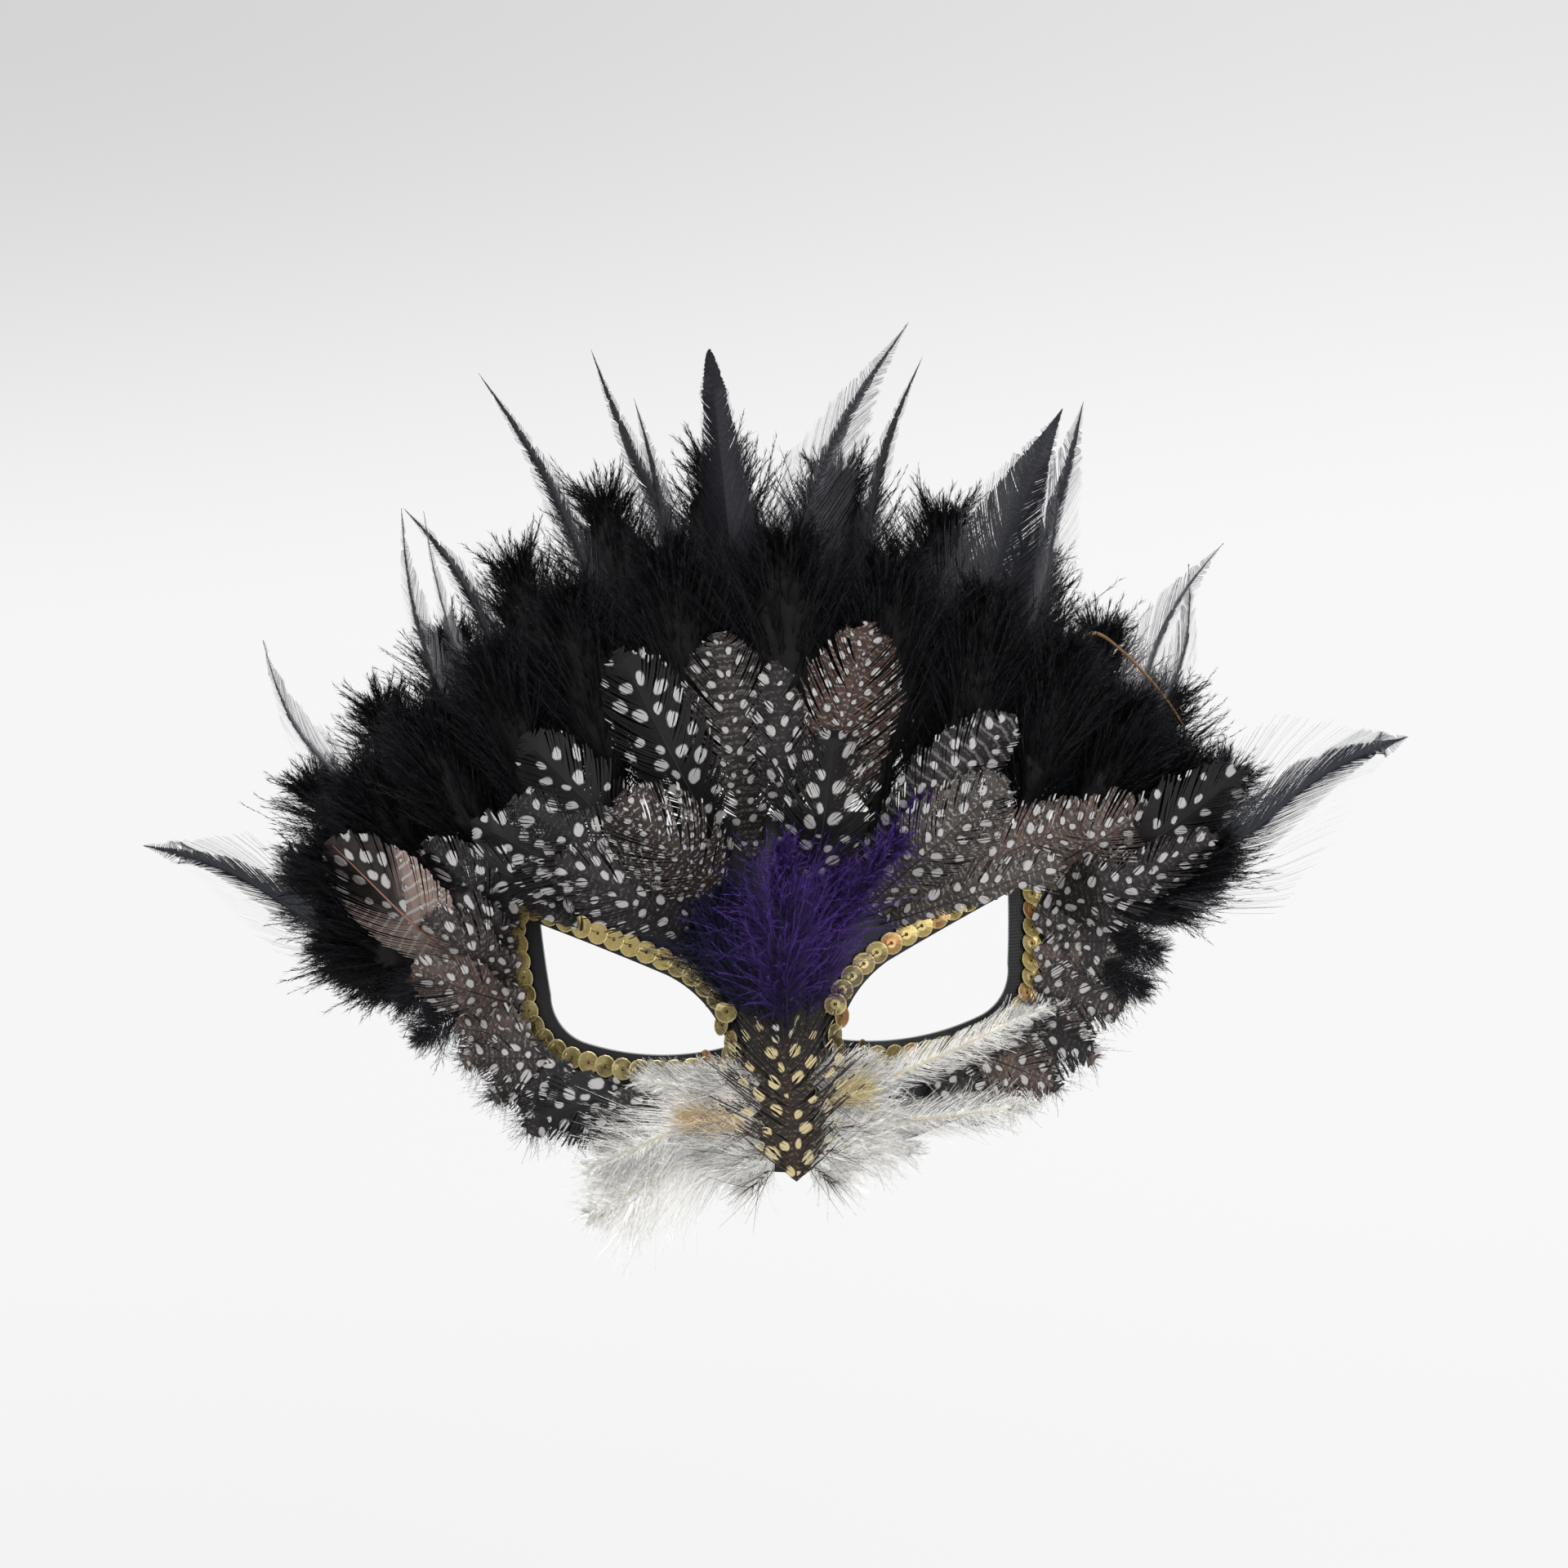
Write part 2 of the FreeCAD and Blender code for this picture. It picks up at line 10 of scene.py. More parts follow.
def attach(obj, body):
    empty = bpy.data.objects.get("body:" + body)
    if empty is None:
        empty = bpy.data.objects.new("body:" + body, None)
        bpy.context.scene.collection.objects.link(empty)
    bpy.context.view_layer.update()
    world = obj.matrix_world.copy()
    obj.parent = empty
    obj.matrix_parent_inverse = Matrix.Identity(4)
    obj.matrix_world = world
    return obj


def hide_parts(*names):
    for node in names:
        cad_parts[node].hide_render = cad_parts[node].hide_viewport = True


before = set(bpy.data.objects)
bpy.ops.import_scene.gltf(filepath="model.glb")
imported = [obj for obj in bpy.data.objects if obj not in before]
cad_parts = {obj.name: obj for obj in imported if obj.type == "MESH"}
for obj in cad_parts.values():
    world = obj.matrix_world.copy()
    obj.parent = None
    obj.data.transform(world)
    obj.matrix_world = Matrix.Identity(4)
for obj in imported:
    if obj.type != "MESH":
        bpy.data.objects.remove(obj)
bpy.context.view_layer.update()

bl_info = {
    "name": "Feathered half mask",
    "version": (1, 0, 0),
    "blender": (4, 5, 0),
    "location": "3D View > Sidebar > Mask",
    "description": "Feathers, sequins and finishes of a masquerade half mask, built on its CAD frame",
    "category": "Object",
}

MM = 0.001  # the frame is in metres, and everything below is worked out in millimetres
CENTIMETRE = 10.0  # marks are kept in centimetres, so that they stay between 0 and 1


def rgb(red, green, blue):
    """A colour written as display values from 0 to 255, as linear values with alpha 1."""
    c = np.array([red, green, blue]) / 255.0
    c = np.where(c <= 0.04045, c / 12.92, ((c + 0.055) / 1.055) ** 2.4)
    return (float(c[0]), float(c[1]), float(c[2]), 1.0)


# ---------------------------------------------------------------- reading the frame
def solids(node):
    """The solids of a CAD node, each as its corner points in millimetres.  Corners that coincide
    are one point, and points that triangles join belong to one solid."""
    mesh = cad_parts[node].data
    co = np.empty(len(mesh.vertices) * 3)
    mesh.vertices.foreach_get("co", co)
    corner = np.empty(len(mesh.loops), int)
    mesh.loops.foreach_get("vertex_index", corner)
    points, index = np.unique(np.round(co.reshape(-1, 3) / MM, 3), axis=0, return_inverse=True)
    triangles = index.ravel()[corner].reshape(-1, 3)
    label = np.arange(len(points))
    while True:
        lowest = label.copy()
        np.minimum.at(lowest, triangles.ravel(), np.repeat(label[triangles].min(1), 3))
        lowest = lowest[lowest]
        if (lowest == label).all():
            return [points[label == k] for k in np.unique(label)]
        label = lowest


def through(knots, values, t):
    """A smooth line through the values at the knots: in each span, the cubic that meets both ends
    and has, at each, the slope between that end's neighbours."""
    slopes = np.gradient(values, knots, axis=0)
    k = np.clip(np.searchsorted(knots, t, side="right") - 1, 0, len(knots) - 2)
    span = knots[k + 1] - knots[k]
    u = (t - knots[k]) / span
    if values.ndim > 1:
        span, u = span[..., None], u[..., None]
    rise = u * u * (3 - 2 * u)
    ends = values[k] * (1 - rise) + values[k + 1] * rise
    return ends + span * (slopes[k] * u * (1 - u) ** 2 - slopes[k + 1] * u * u * (1 - u))


def unit(v):
    return v / np.maximum(np.linalg.norm(v, axis=-1, keepdims=True), 1e-9)


def read_rings(points, sides):
    """The rings of a CAD feather, from root to tip.  It is a stack of like rings, square to the
    line between its ends, and the root's ring is the smaller of the two end rings."""
    middle = points.mean(0)
    along = np.linalg.svd(points - middle)[2][0]
    for _ in range(3):
        rings = points[np.argsort((points - middle) @ along)].reshape(-1, sides, 3)
        centres = rings.mean(1)
        along = unit(centres[-1] - centres[0])
    spread = np.linalg.norm(rings - centres[:, None], axis=2).max(1)
    return rings[::-1] if spread[0] > spread[-1] else rings


class Quill:
    """A feather's smooth line from root to tip with a half width and half depth along it."""

    def __init__(self, rings, wide=1.0, bow=0.0, longer=1.0, fill=0.0, blunt=0.0, point=0.0):
        self.wide, self.bow, self.longer = wide, bow, longer
        self.fill, self.blunt, self.point = fill, blunt, point
        centres = rings.mean(1)
        along = unit(centres[-1] - centres[0])
        span = float((centres[-1] - centres[0]) @ along)
        self.length = span * longer
        self.knots = (centres - centres[0]) @ along / span
        self.centres, self.along = centres, along
        front = np.array([0.0, -1.0, 0.0])
        guess = np.cross(along, unit(front - along * (front @ along)))
        arms = rings - centres[:, None]
        widest = arms[np.abs(arms @ guess).max(1).argmax()]
        self.across = unit(widest[(widest @ guess).argmax()])
        self.up = np.cross(self.across, along)
        self.widths = np.abs(arms @ self.across).max(1)
        self.depths = np.abs(arms @ self.up).max(1)

    def size(self, values, t):
        """A width or depth at share t.  Soft barbs fill it out to a share of the most, up to the
        tip where it is blunt.  A point closes with the square root of the way left to the tip."""
        least = self.fill * values.max() * np.clip(2.0 + self.blunt - 2.5 * t, 0, 1) ** 0.5
        most = np.maximum(through(self.knots, values, np.clip(t, 0, 1)), least)
        return most * np.clip((1.0 - t) / self.point, 0, 1) ** 0.5 if self.point else most

    def width(self, t):
        return self.size(self.widths, t) * self.wide

    def depth(self, t):
        return self.size(self.depths, t)

    def place(self, s, t, lift):
        """The line at share t, its outer part bowed sideways by half a sine wave, then s across
        and lift to the front.  A longer visual feather runs straight on past the solid."""
        far = t * self.longer
        held = np.clip(far, 0, 1)
        line = through(self.knots, self.centres, held)
        line = line + self.along * ((far - held) * self.length / self.longer)[..., None]
        s = s + self.bow * np.sin(pi * np.clip((t - 0.5) / 0.5, 0, 1))
        return line + self.across * s[..., None] + self.up * lift[..., None]


def quills(node, sides=4, **shape):
    """The feathers of a node, from left to right by their tips."""
    found = [Quill(read_rings(points, sides), **shape) for points in solids(node)]
    return sorted(found, key=lambda q: q.centres[-1][0])


def eye_rims():
    """The rim of each eye hole, seen from the front: its middle, and in each direction from there
    the least distance that any edge of its binding comes to."""
    rims = []
    for side in ("left", "right"):
        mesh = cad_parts["eye_binding_" + side].data
        co = np.empty(len(mesh.vertices) * 3)
        mesh.vertices.foreach_get("co", co)
        ends = np.empty(len(mesh.edges) * 2, int)
        mesh.edges.foreach_get("vertices", ends)
        corners = (co.reshape(-1, 3)[:, ::2] / MM)[ends.reshape(-1, 2)]
        share = np.linspace(0, 1, 25)[:, None, None]
        points = (corners[:, 0] * (1 - share) + corners[:, 1] * share).reshape(-1, 2)
        middle = (points.min(0) + points.max(0)) / 2
        rim = np.full(DIRECTIONS, 1e9)
        np.minimum.at(rim, direction(points - middle), np.linalg.norm(points - middle, axis=1))
        rims.append((middle, rim))
    return rims


def direction(away):
    """The number of the direction that each vector points in."""
    turn = np.arctan2(away[..., 1], away[..., 0]) / (2 * pi)
    return np.floor((turn % 1.0) * DIRECTIONS).astype(int) % DIRECTIONS


def over_eye(points, clear):
    """Whether points lie over an eye hole or nearer than clear to it, seen from the front."""
    seen = np.zeros(points.shape[:-1], bool)
    for middle, rim in EYE_RIMS:
        away = points[..., ::2] - middle
        seen |= np.linalg.norm(away, axis=-1) < rim[direction(away)] + clear
    return seen


DIRECTIONS = 120
EYE_RIMS = eye_rims()


def cover_point(x, z, lift):
    """A point that stands lift in front of the cover, over the place on it nearest to x and z."""
    near = COVER.find_nearest(Vector((x * MM, COVER_REACH, z * MM)))[0]
    near = COVER.find_nearest(Vector((x * MM, near.y, z * MM)))[0]
    return np.array([x, near.y / MM - lift, z])


def laid_quill(root, tip, width, low, high, depth=1.2, **shape):
    """A small feather laid over the cover from root to tip, given as x and z.  Its half width
    grows as the root of the share up to a third, and closes as a quarter circle to the tip."""
    share = np.linspace(0, 1, 9)
    a, b = cover_point(*root, low), cover_point(*tip, high)
    half = 0.5 * width * np.minimum((share * 3.0 + 0.15) ** 0.5, (1.08 - share ** 2) ** 0.5).clip(0.1, 1)
    line = a + (b - a) * share[:, None] - np.array([0, LAID_BOW, 0]) * np.sin(pi * share)[:, None]
    along = unit(b - a)
    across = unit(np.cross(along, np.array([0.0, -1.0, 0.0])))
    up = np.cross(across, along)
    thick = depth * (0.2 + 0.5 * half / width)
    arms = np.stack([across * half[:, None], up * thick[:, None]], 1)
    return Quill(line[:, None] + np.concatenate([arms, -arms], 1), **shape)


COVER = BVHTree.FromObject(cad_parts["front_cover"], bpy.context.evaluated_depsgraph_get())
COVER_REACH = -0.02  # y in metres, in front of the cover, from where its nearest face is looked for
LAID_BOW = 1.2  # how far the middle of a laid feather stands out, in millimetres


# ---------------------------------------------------------------- building meshes
class Heap:
    """Gathers grids and triangles with their dye, marks and lie, to be made one mesh."""

    def __init__(self):
        self.count = 0
        self.co, self.dye, self.marks, self.lie = [], [], [], []
        self.quads, self.triangles = [], []

    def points(self, co, dye, marks, lie):
        shape = co.shape[:-1]
        first = self.count
        self.co.append(co.reshape(-1, 3))
        for values, store, size in ((dye, self.dye, 4), (marks, self.marks, 4), (lie, self.lie, 2)):
            store.append(np.broadcast_to(np.asarray(values, float), shape + (size,)).reshape(-1, size))
        self.count += int(np.prod(shape))
        return first + np.arange(self.count - first).reshape(shape)

    def grid(self, co, dye, marks=(0, 0, 0, 0), lie=(0, 0), loop=False, turn=False):
        """Quads over the last two parameters of an array of grids.  loop joins the last column to
        the first, and turn the last row to the first."""
        index = self.points(co, dye, marks, lie)
        if loop:
            index = np.concatenate([index, index[..., :1]], -1)
        if turn:
            index = np.concatenate([index, index[..., :1, :]], -2)
        corners = [index[..., :-1, :-1], index[..., :-1, 1:], index[..., 1:, 1:], index[..., 1:, :-1]]
        self.quads.append(np.stack(corners, -1).reshape(-1, 4))
        return index

    def fans(self, rims):
        """Closes each rim, a loop of vertices, with triangles from its first vertex."""
        first = np.repeat(rims[..., :1], rims.shape[-1] - 2, -1)
        self.triangles.append(np.stack([first, rims[..., 1:-1], rims[..., 2:]], -1).reshape(-1, 3))

    def spikes(self, co, dye, marks=(0, 0, 0, 0), lie=(0, 0)):
        """Loose triangles, given as (..., 3 corners, 3)."""
        self.triangles.append(self.points(co, dye, marks, lie).reshape(-1, 3))

    def piece(self, name, material, nodes, slot, smooth=True):
        """One mesh object of everything gathered, which rides on the root and replaces the nodes."""
        mesh = bpy.data.meshes.new(name)
        co = np.concatenate(self.co) * MM
        quads = np.concatenate(self.quads or [np.zeros((0, 4), int)])
        triangles = np.concatenate(self.triangles or [np.zeros((0, 3), int)])
        loops = np.concatenate([quads.ravel(), triangles.ravel()])
        starts = np.concatenate([np.arange(len(quads)) * 4, len(quads) * 4 + np.arange(len(triangles)) * 3])
        mesh.vertices.add(len(co))
        mesh.vertices.foreach_set("co", co.ravel())
        mesh.loops.add(len(loops))
        mesh.loops.foreach_set("vertex_index", loops)
        mesh.polygons.add(len(starts))
        mesh.polygons.foreach_set("loop_start", starts)
        mesh.polygons.foreach_set("use_smooth", np.full(len(starts), smooth))
        mesh.update(calc_edges=True)
        for label, store in (("dye", self.dye), ("marks", self.marks)):
            attribute = mesh.attributes.new(label, "FLOAT_COLOR", "POINT")
            attribute.data.foreach_set("color", np.concatenate(store).ravel())
        lie = np.concatenate(self.lie)
        mesh.uv_layers.new(name="lie").uv.foreach_set("vector", lie[loops].ravel())
        mesh.materials.append(material)
        made = bpy.data.objects.new(name, mesh)
        bpy.context.scene.collection.objects.link(made)
        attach(made, "root")
        if nodes:
            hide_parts(*nodes)


SKEW = np.array([0.12, -1.0, 0.07])  # no path runs this way, so it can set where a tube's sides start


def tubes(heap, paths, radii, dye, sides=6, ends=True, ring=False):
    """A round tube along each path: at each point, a circle square to the path.  Paths are
    (..., points, 3) and radii fit them.  ring joins the last point to the first."""
    if ring:
        way = np.roll(paths, -1, -2) - np.roll(paths, 1, -2)
    else:
        way = np.gradient(paths, axis=-2)
    way = unit(way)
    side = unit(np.cross(way, SKEW))
    other = np.cross(side, way)
    turn = 2 * pi * np.arange(sides) / sides
    circle = side[..., None, :] * np.cos(turn)[:, None] + other[..., None, :] * np.sin(turn)[:, None]
    co = paths[..., None, :] + circle * np.asarray(radii)[..., None, None]
    index = heap.grid(co, dye, loop=True, turn=ring)
    if ends and not ring:
        heap.fans(index[..., 0, :-1][..., ::-1])
        heap.fans(index[..., -1, :-1])


def shaft(heap, quill, thick, dye, reach=1.0, points=26, front=0.15):
    """The bare shaft: a tube along the feather's line, which thins towards the tip."""
    t = np.linspace(0.0, reach, points)
    path = quill.place(np.zeros(points), t, np.full(points, front))
    tubes(heap, path, thick * (1.0 - 0.88 * t ** 1.2), dye, sides=6)


def bunches(rng, count, mean):
    """Splits a row of barbs into bunches of a random size: the bunch of each, and the place of
    each bunch's middle."""
    bunch = np.cumsum(rng.random(count) < 1.0 / mean)
    middle = np.bincount(bunch, np.arange(count)) / np.maximum(np.bincount(bunch), 1)
    return bunch, middle[bunch]


def vane(heap, quill, rng, dye, edge_dye, marks, per_mm=2.0, start=0.14, slant=1.0, bow=1.25,
         cover=1.25, taper=0.45, fray=0.04, split=0.6, bunch_size=9, pinch=0.25, camber=0.10,
         curl=0.5, steps=5, tilt=0.25, clear=0.5, tip=None):
    """Both sides of a flat feather as rows of barbs.  A barb leaves the shaft at height v0 and at
    share q of its way has gone q times the half width across and slant times the half width
    times q to the power bow up.  It is a ribbon as wide as the gap to the next, times cover,
    that narrows to its tip.  Barbs hang together in bunches, and each bunch is moved by its own
    amount times q squared, which opens the splits.  The lie keeps the place before the moving.
    A barb that would reach over an eye hole is trimmed short of it.  tip gives the share where a
    second dye and second marks take over, the dye and the marks."""
    length = quill.length
    count = max(12, int(length * (1 - start) * per_mm))
    gap = length * (1 - start) / count
    whole = np.linspace(0, 1, 31)
    for side in (-1, 1):
        t = start + (1 - start) * (np.arange(count) + 0.5) / count
        rise = np.minimum(slant * quill.width(t + 0.08), (1 - t) * length * 0.82)
        reach = quill.width(t + rise / length) * (1 + fray * rng.normal(size=count))
        bunch, middle = bunches(rng, count, bunch_size)
        shift = rng.normal(0, split, bunch.max() + 1)[bunch]
        shift = shift + (middle - np.arange(count)) * gap * pinch
        lift = rng.normal(0, 0.35 * curl, bunch.max() + 1)[bunch] + rng.normal(0, 0.08, count)
        path = quill.place(side * reach[:, None] * whole, t[:, None] + rise[:, None] / length * whole ** bow,
                           np.zeros((count, len(whole))))
        free = np.cumprod(~over_eye(path, clear), axis=1).sum(1) / len(whole)
        q = np.linspace(0, 1, steps + 1) * free[:, None]
        s = side * reach[:, None] * q
        v = t[:, None] * length + rise[:, None] * q ** bow
        half = 0.5 * gap * cover * (1 - (1 - taper) * q)
        edges = np.array([-1.0, 1.0])
        flat_v = v[..., None] + half[..., None] * edges
        moved = flat_v + (shift[:, None] * q ** 2)[..., None]
        up = -camber * np.abs(s) * q + (lift[:, None] * q ** 2)
        up = up[..., None] + tilt * half[..., None] * edges + 0.1
        across = np.repeat((s * (1 - 0.01 * np.abs(shift[:, None]) * q))[..., None], 2, -1)
        co = quill.place(across, moved / length, up)
        mix = (q ** 1.6)[..., None, None]
        tone = 1 + 0.12 * rng.normal(size=(count, 1, 1, 1))
        colour = np.asarray(dye) * (1 - mix) + np.asarray(edge_dye) * mix
        worn = np.asarray(marks, float)
        if tip:
            beyond = np.clip((t - tip[0]) / 0.12 + 0.5, 0, 1)[:, None, None, None]
            colour = colour * (1 - beyond) + np.asarray(tip[1]) * beyond
            worn = np.where(beyond > 0.5, np.asarray(tip[2], float), worn)
        colour = colour * np.concatenate([np.repeat(np.clip(tone, 0.6, 1.5), 3, -1), np.ones(tone.shape)], -1)
        colour = np.broadcast_to(colour, co.shape[:-1] + (4,))
        lie = np.stack([np.broadcast_to(s[..., None], flat_v.shape), flat_v], -1)
        if side < 0:
            co, colour, lie = co[..., ::-1, :], colour[..., ::-1, :], lie[..., ::-1, :]
        heap.grid(co, colour, worn, lie)


def core(heap, quill, rng, dye, share=0.66, rows=30, sides=18):
    """The dense middle of a plume: round the line, at each height, an oval of a share of the
    width and depth there, narrower near the root and flatter on the wearer's side so that the
    barbs cover it, with a little unevenness, closed at both ends."""
    t = np.linspace(0.03, 1.0, rows)[:, None]
    turn = 2 * pi * np.arange(sides) / sides
    uneven = 1 + 0.09 * rng.normal(size=(rows, sides))
    close = np.clip((1.02 - t) / 0.1, 0, 1) ** 0.5 * np.clip(0.3 + 1.6 * t, 0, 1) * share * uneven
    s = quill.width(t) * np.cos(turn) * close
    lift = quill.depth(t) * np.where(turn > pi, 0.15, 1.0) * np.sin(turn) * close
    index = heap.grid(quill.place(s, np.broadcast_to(t, s.shape), lift), dye, loop=True)
    heap.fans(index[0, :-1][::-1])
    heap.fans(index[-1, :-1])


def down(heap, quill, rng, dye, edge_dye, barbs=200, start=0.1, slant=1.5, swirl=0.12, fray=0.2,
         roundness=0.75, barb_width=0.34, barbules=40, fluff=3.0, barbule_width=0.2, steps=5,
         overlap=0.0, lean=0.85, clear=0.3, behind=0.35, crowd=0.85):
    """A plume of down.  Barb number n of N leaves the shaft towards its own side at the share n / N
    to the power crowd of its length.  At share q of its way it stands the half width times q to
    the power 0.85 off it, and slant times the half width times q to the power 1.3 further up,
    with a bend of its own times q squared.  Barbs on the wearer's side are shallower, and those
    that would cross an eye hole are left out.  Barbules are narrow triangles that leave a barb
    on all sides, close to its own way, and are shorter at its tip."""
    t = start + (1 - start) * ((np.arange(barbs) + rng.random(barbs)) / barbs) ** crowd
    side = np.where(rng.random(barbs) < 0.5, 0.0, pi)
    turn = side + rng.normal(0, roundness, barbs)
    wide = quill.width(t + 0.1) + overlap
    rise = slant * wide * (1 - 0.45 * t) + 2.0
    stretch = np.clip(1 + fray * rng.normal(size=barbs), 0.4, 1.5)
    deep = (quill.depth(t + 0.1) + 0.5 * overlap) * np.sin(turn) * stretch
    deep = np.where(deep < 0, deep * behind, deep)
    wide = wide * np.cos(turn) * stretch
    rise = rise * stretch
    bend = rng.normal(0, swirl, (barbs, 3)) * (np.abs(wide) + 4)[:, None] * (1.0, 0.3, 1.0)
    root = quill.place(np.zeros(barbs), t, np.zeros(barbs))
    out = quill.across * wide[:, None] + quill.up * deep[:, None]

    def barb(q):
        """The points of all barbs at the shares q, one row for each barb."""
        q = q[..., None]
        return (root[:, None] + out[:, None] * q ** 0.85
                + quill.along * (rise[:, None, None] * q ** 1.3) + bend[:, None] * q ** 2)

    q = np.broadcast_to(np.linspace(0, 1, steps + 1), (barbs, steps + 1))
    kept = ~over_eye(barb(q), clear).any(1)
    root, out, rise, bend = root[kept], out[kept], rise[kept], bend[kept]
    barbs, q = int(kept.sum()), q[kept]
    line = barb(q)
    way = unit(np.gradient(line, axis=1))
    face = unit(quill.up + 0.5 * rng.normal(size=(barbs, 1, 3)))
    wing = unit(np.cross(way, face)) * (0.5 * barb_width * (1 - 0.85 * q))[..., None]
    tone = np.clip(1 + 0.3 * rng.normal(size=(barbs, 1, 1)), 0.35, 2.2)
    mix = q[..., None] ** 1.5
    colour = (np.asarray(dye) * (1 - mix) + np.asarray(edge_dye) * mix) * tone
    ribbon = np.stack([line - wing, line + wing], 2)
    heap.grid(ribbon, colour[:, :, None, :], (0, 0, 0, 0), np.stack([q, q], -1)[:, :, None, :])
    if not barbules:
        return
    share = 0.06 + 0.92 * (np.arange(barbules) + rng.random((barbs, barbules))) / barbules
    base = barb(share)
    way = unit(barb(share + 0.02) - base)
    aside = unit(np.cross(way, rng.normal(size=(barbs, barbules, 3))))
    reach = fluff * (1 - 0.45 * share) * (0.5 + 0.8 * rng.random((barbs, barbules)))
    tip = base + (way * lean + aside * (1 - lean * lean) ** 0.5) * reach[..., None]
    root_half = unit(np.cross(way, aside)) * (0.5 * barbule_width)
    mix = share[..., None] ** 1.2
    colour = (np.asarray(dye) * (1 - mix) + np.asarray(edge_dye) * mix) * tone
    spike = np.stack([base - root_half, base + root_half, tip], 2)
    heap.spikes(spike, colour[:, :, None, :], (0, 0, 0, 0), np.stack([share, share], -1)[:, :, None, :])


# ---------------------------------------------------------------- materials
def feed(tree, made, inputs):
    """Gives each input of a node a value, or joins it to a socket."""
    for key, value in inputs.items():
        if isinstance(value, bpy.types.NodeSocket):
            tree.links.new(value, made.inputs[key])
        else:
            made.inputs[key].default_value = value


def node(tree, kind, inputs=None, **settings):
    """A node with its settings and inputs, laid out in rows of twelve."""
    made = tree.nodes.new(kind)
    made.location = (180 * (len(tree.nodes) % 12), -220 * (len(tree.nodes) // 12))
    for key, value in settings.items():
        setattr(made, key, value)
    feed(tree, made, inputs or {})
    return made


def maths(tree, operation, a, b=0.0):
    return node(tree, "ShaderNodeMath", {0: a, 1: b}, operation=operation).outputs[0]


def times(tree, a, b):
    return maths(tree, "MULTIPLY", a, b)


def plus(tree, a, b):
    return maths(tree, "ADD", a, b)


def mixed(tree, share, a, b):
    """Two colours mixed by share."""
    return node(tree, "ShaderNodeMix", {0: share, 6: a, 7: b}, data_type="RGBA").outputs[2]


def ramp(tree, value, low, high, out_low=0.0, out_high=1.0):
    """A smooth step of value from low to high."""
    return node(tree, "ShaderNodeMapRange", {0: value, 1: low, 2: high, 3: out_low, 4: out_high},
                interpolation_type="SMOOTHSTEP").outputs[0]


def noise(tree, vector, scale, detail=3.0, roughness=0.55):
    return node(tree, "ShaderNodeTexNoise",
                {"Vector": vector, "Scale": scale, "Detail": detail, "Roughness": roughness}).outputs[0]


def wave(tree, vector, scale, distortion, way):
    return node(tree, "ShaderNodeTexWave", {"Vector": vector, "Scale": scale, "Distortion": distortion},
                bands_direction=way).outputs[1]


def bump(tree, height, strength, distance):
    return node(tree, "ShaderNodeBump",
                {"Strength": strength, "Distance": distance, "Height": height}).outputs[0]


def object_place(tree):
    return node(tree, "ShaderNodeTexCoord").outputs["Object"]


def attribute(tree, name, output="Color"):
    return node(tree, "ShaderNodeAttribute", attribute_name=name).outputs[output]


def lie_place(tree):
    return node(tree, "ShaderNodeUVMap", uv_map="lie").outputs[0]


def use(tree, name, inputs):
    return node(tree, "ShaderNodeGroup", inputs, node_tree=bpy.data.node_groups[name])


def fibres(tree, fineness, spread, colour=None):
    """The fibre tone of a colour, or of the piece's own dye, and the fibres' height."""
    return use(tree, "fibre_tone", {"Place": object_place(tree), "Fineness": fineness, "Spread": spread,
                                    "Colour": attribute(tree, "dye") if colour is None else colour}).outputs


def material(name, **sockets):
    """A material with its Principled shader, whose plain sockets are set here."""
    made = bpy.data.materials.new(name)
    made.use_nodes = True
    shader = made.node_tree.nodes["Principled BSDF"]
    for key, value in sockets.items():
        shader.inputs[key.replace("_", " ")].default_value = value
    return made, made.node_tree, shader


def group(name, ins, outs):
    """A new node group with named sockets; an input is (name, kind, default)."""
    tree = bpy.data.node_groups.new(name, "ShaderNodeTree")
    for label, kind, default in ins:
        socket = tree.interface.new_socket(name=label, in_out="INPUT", socket_type=kind)
        if default is not None:
            socket.default_value = default
    for label, kind in outs:
        tree.interface.new_socket(name=label, in_out="OUTPUT", socket_type=kind)
    return tree, tree.nodes.new("NodeGroupInput"), tree.nodes.new("NodeGroupOutput")


def make_fibre_group():
    """Fine change of tone from fibre to fibre, and a height for the bump."""
    tree, start, end = group(
        "fibre_tone",
        [("Place", "NodeSocketVector", None), ("Fineness", "NodeSocketFloat", 900.0),
         ("Spread", "NodeSocketFloat", 0.3), ("Colour", "NodeSocketColor", (1, 1, 1, 1))],
        [("Colour", "NodeSocketColor"), ("Height", "NodeSocketFloat")])
    place, fineness, spread, colour = (start.outputs[k] for k in ("Place", "Fineness", "Spread", "Colour"))
    grain = noise(tree, place, fineness, 4.0, 0.65)
    broad = noise(tree, place, 60.0, 2.0)
    both = plus(tree, times(tree, grain, 0.6), times(tree, broad, 0.4))
    off = times(tree, maths(tree, "SUBTRACT", both, 0.5), spread)
    factor = plus(tree, times(tree, off, 4.0), 1.0)
    scaled = node(tree, "ShaderNodeVectorMath", {0: colour, 3: factor}, operation="SCALE")
    feed(tree, end, {"Colour": scaled.outputs[0], "Height": grain})


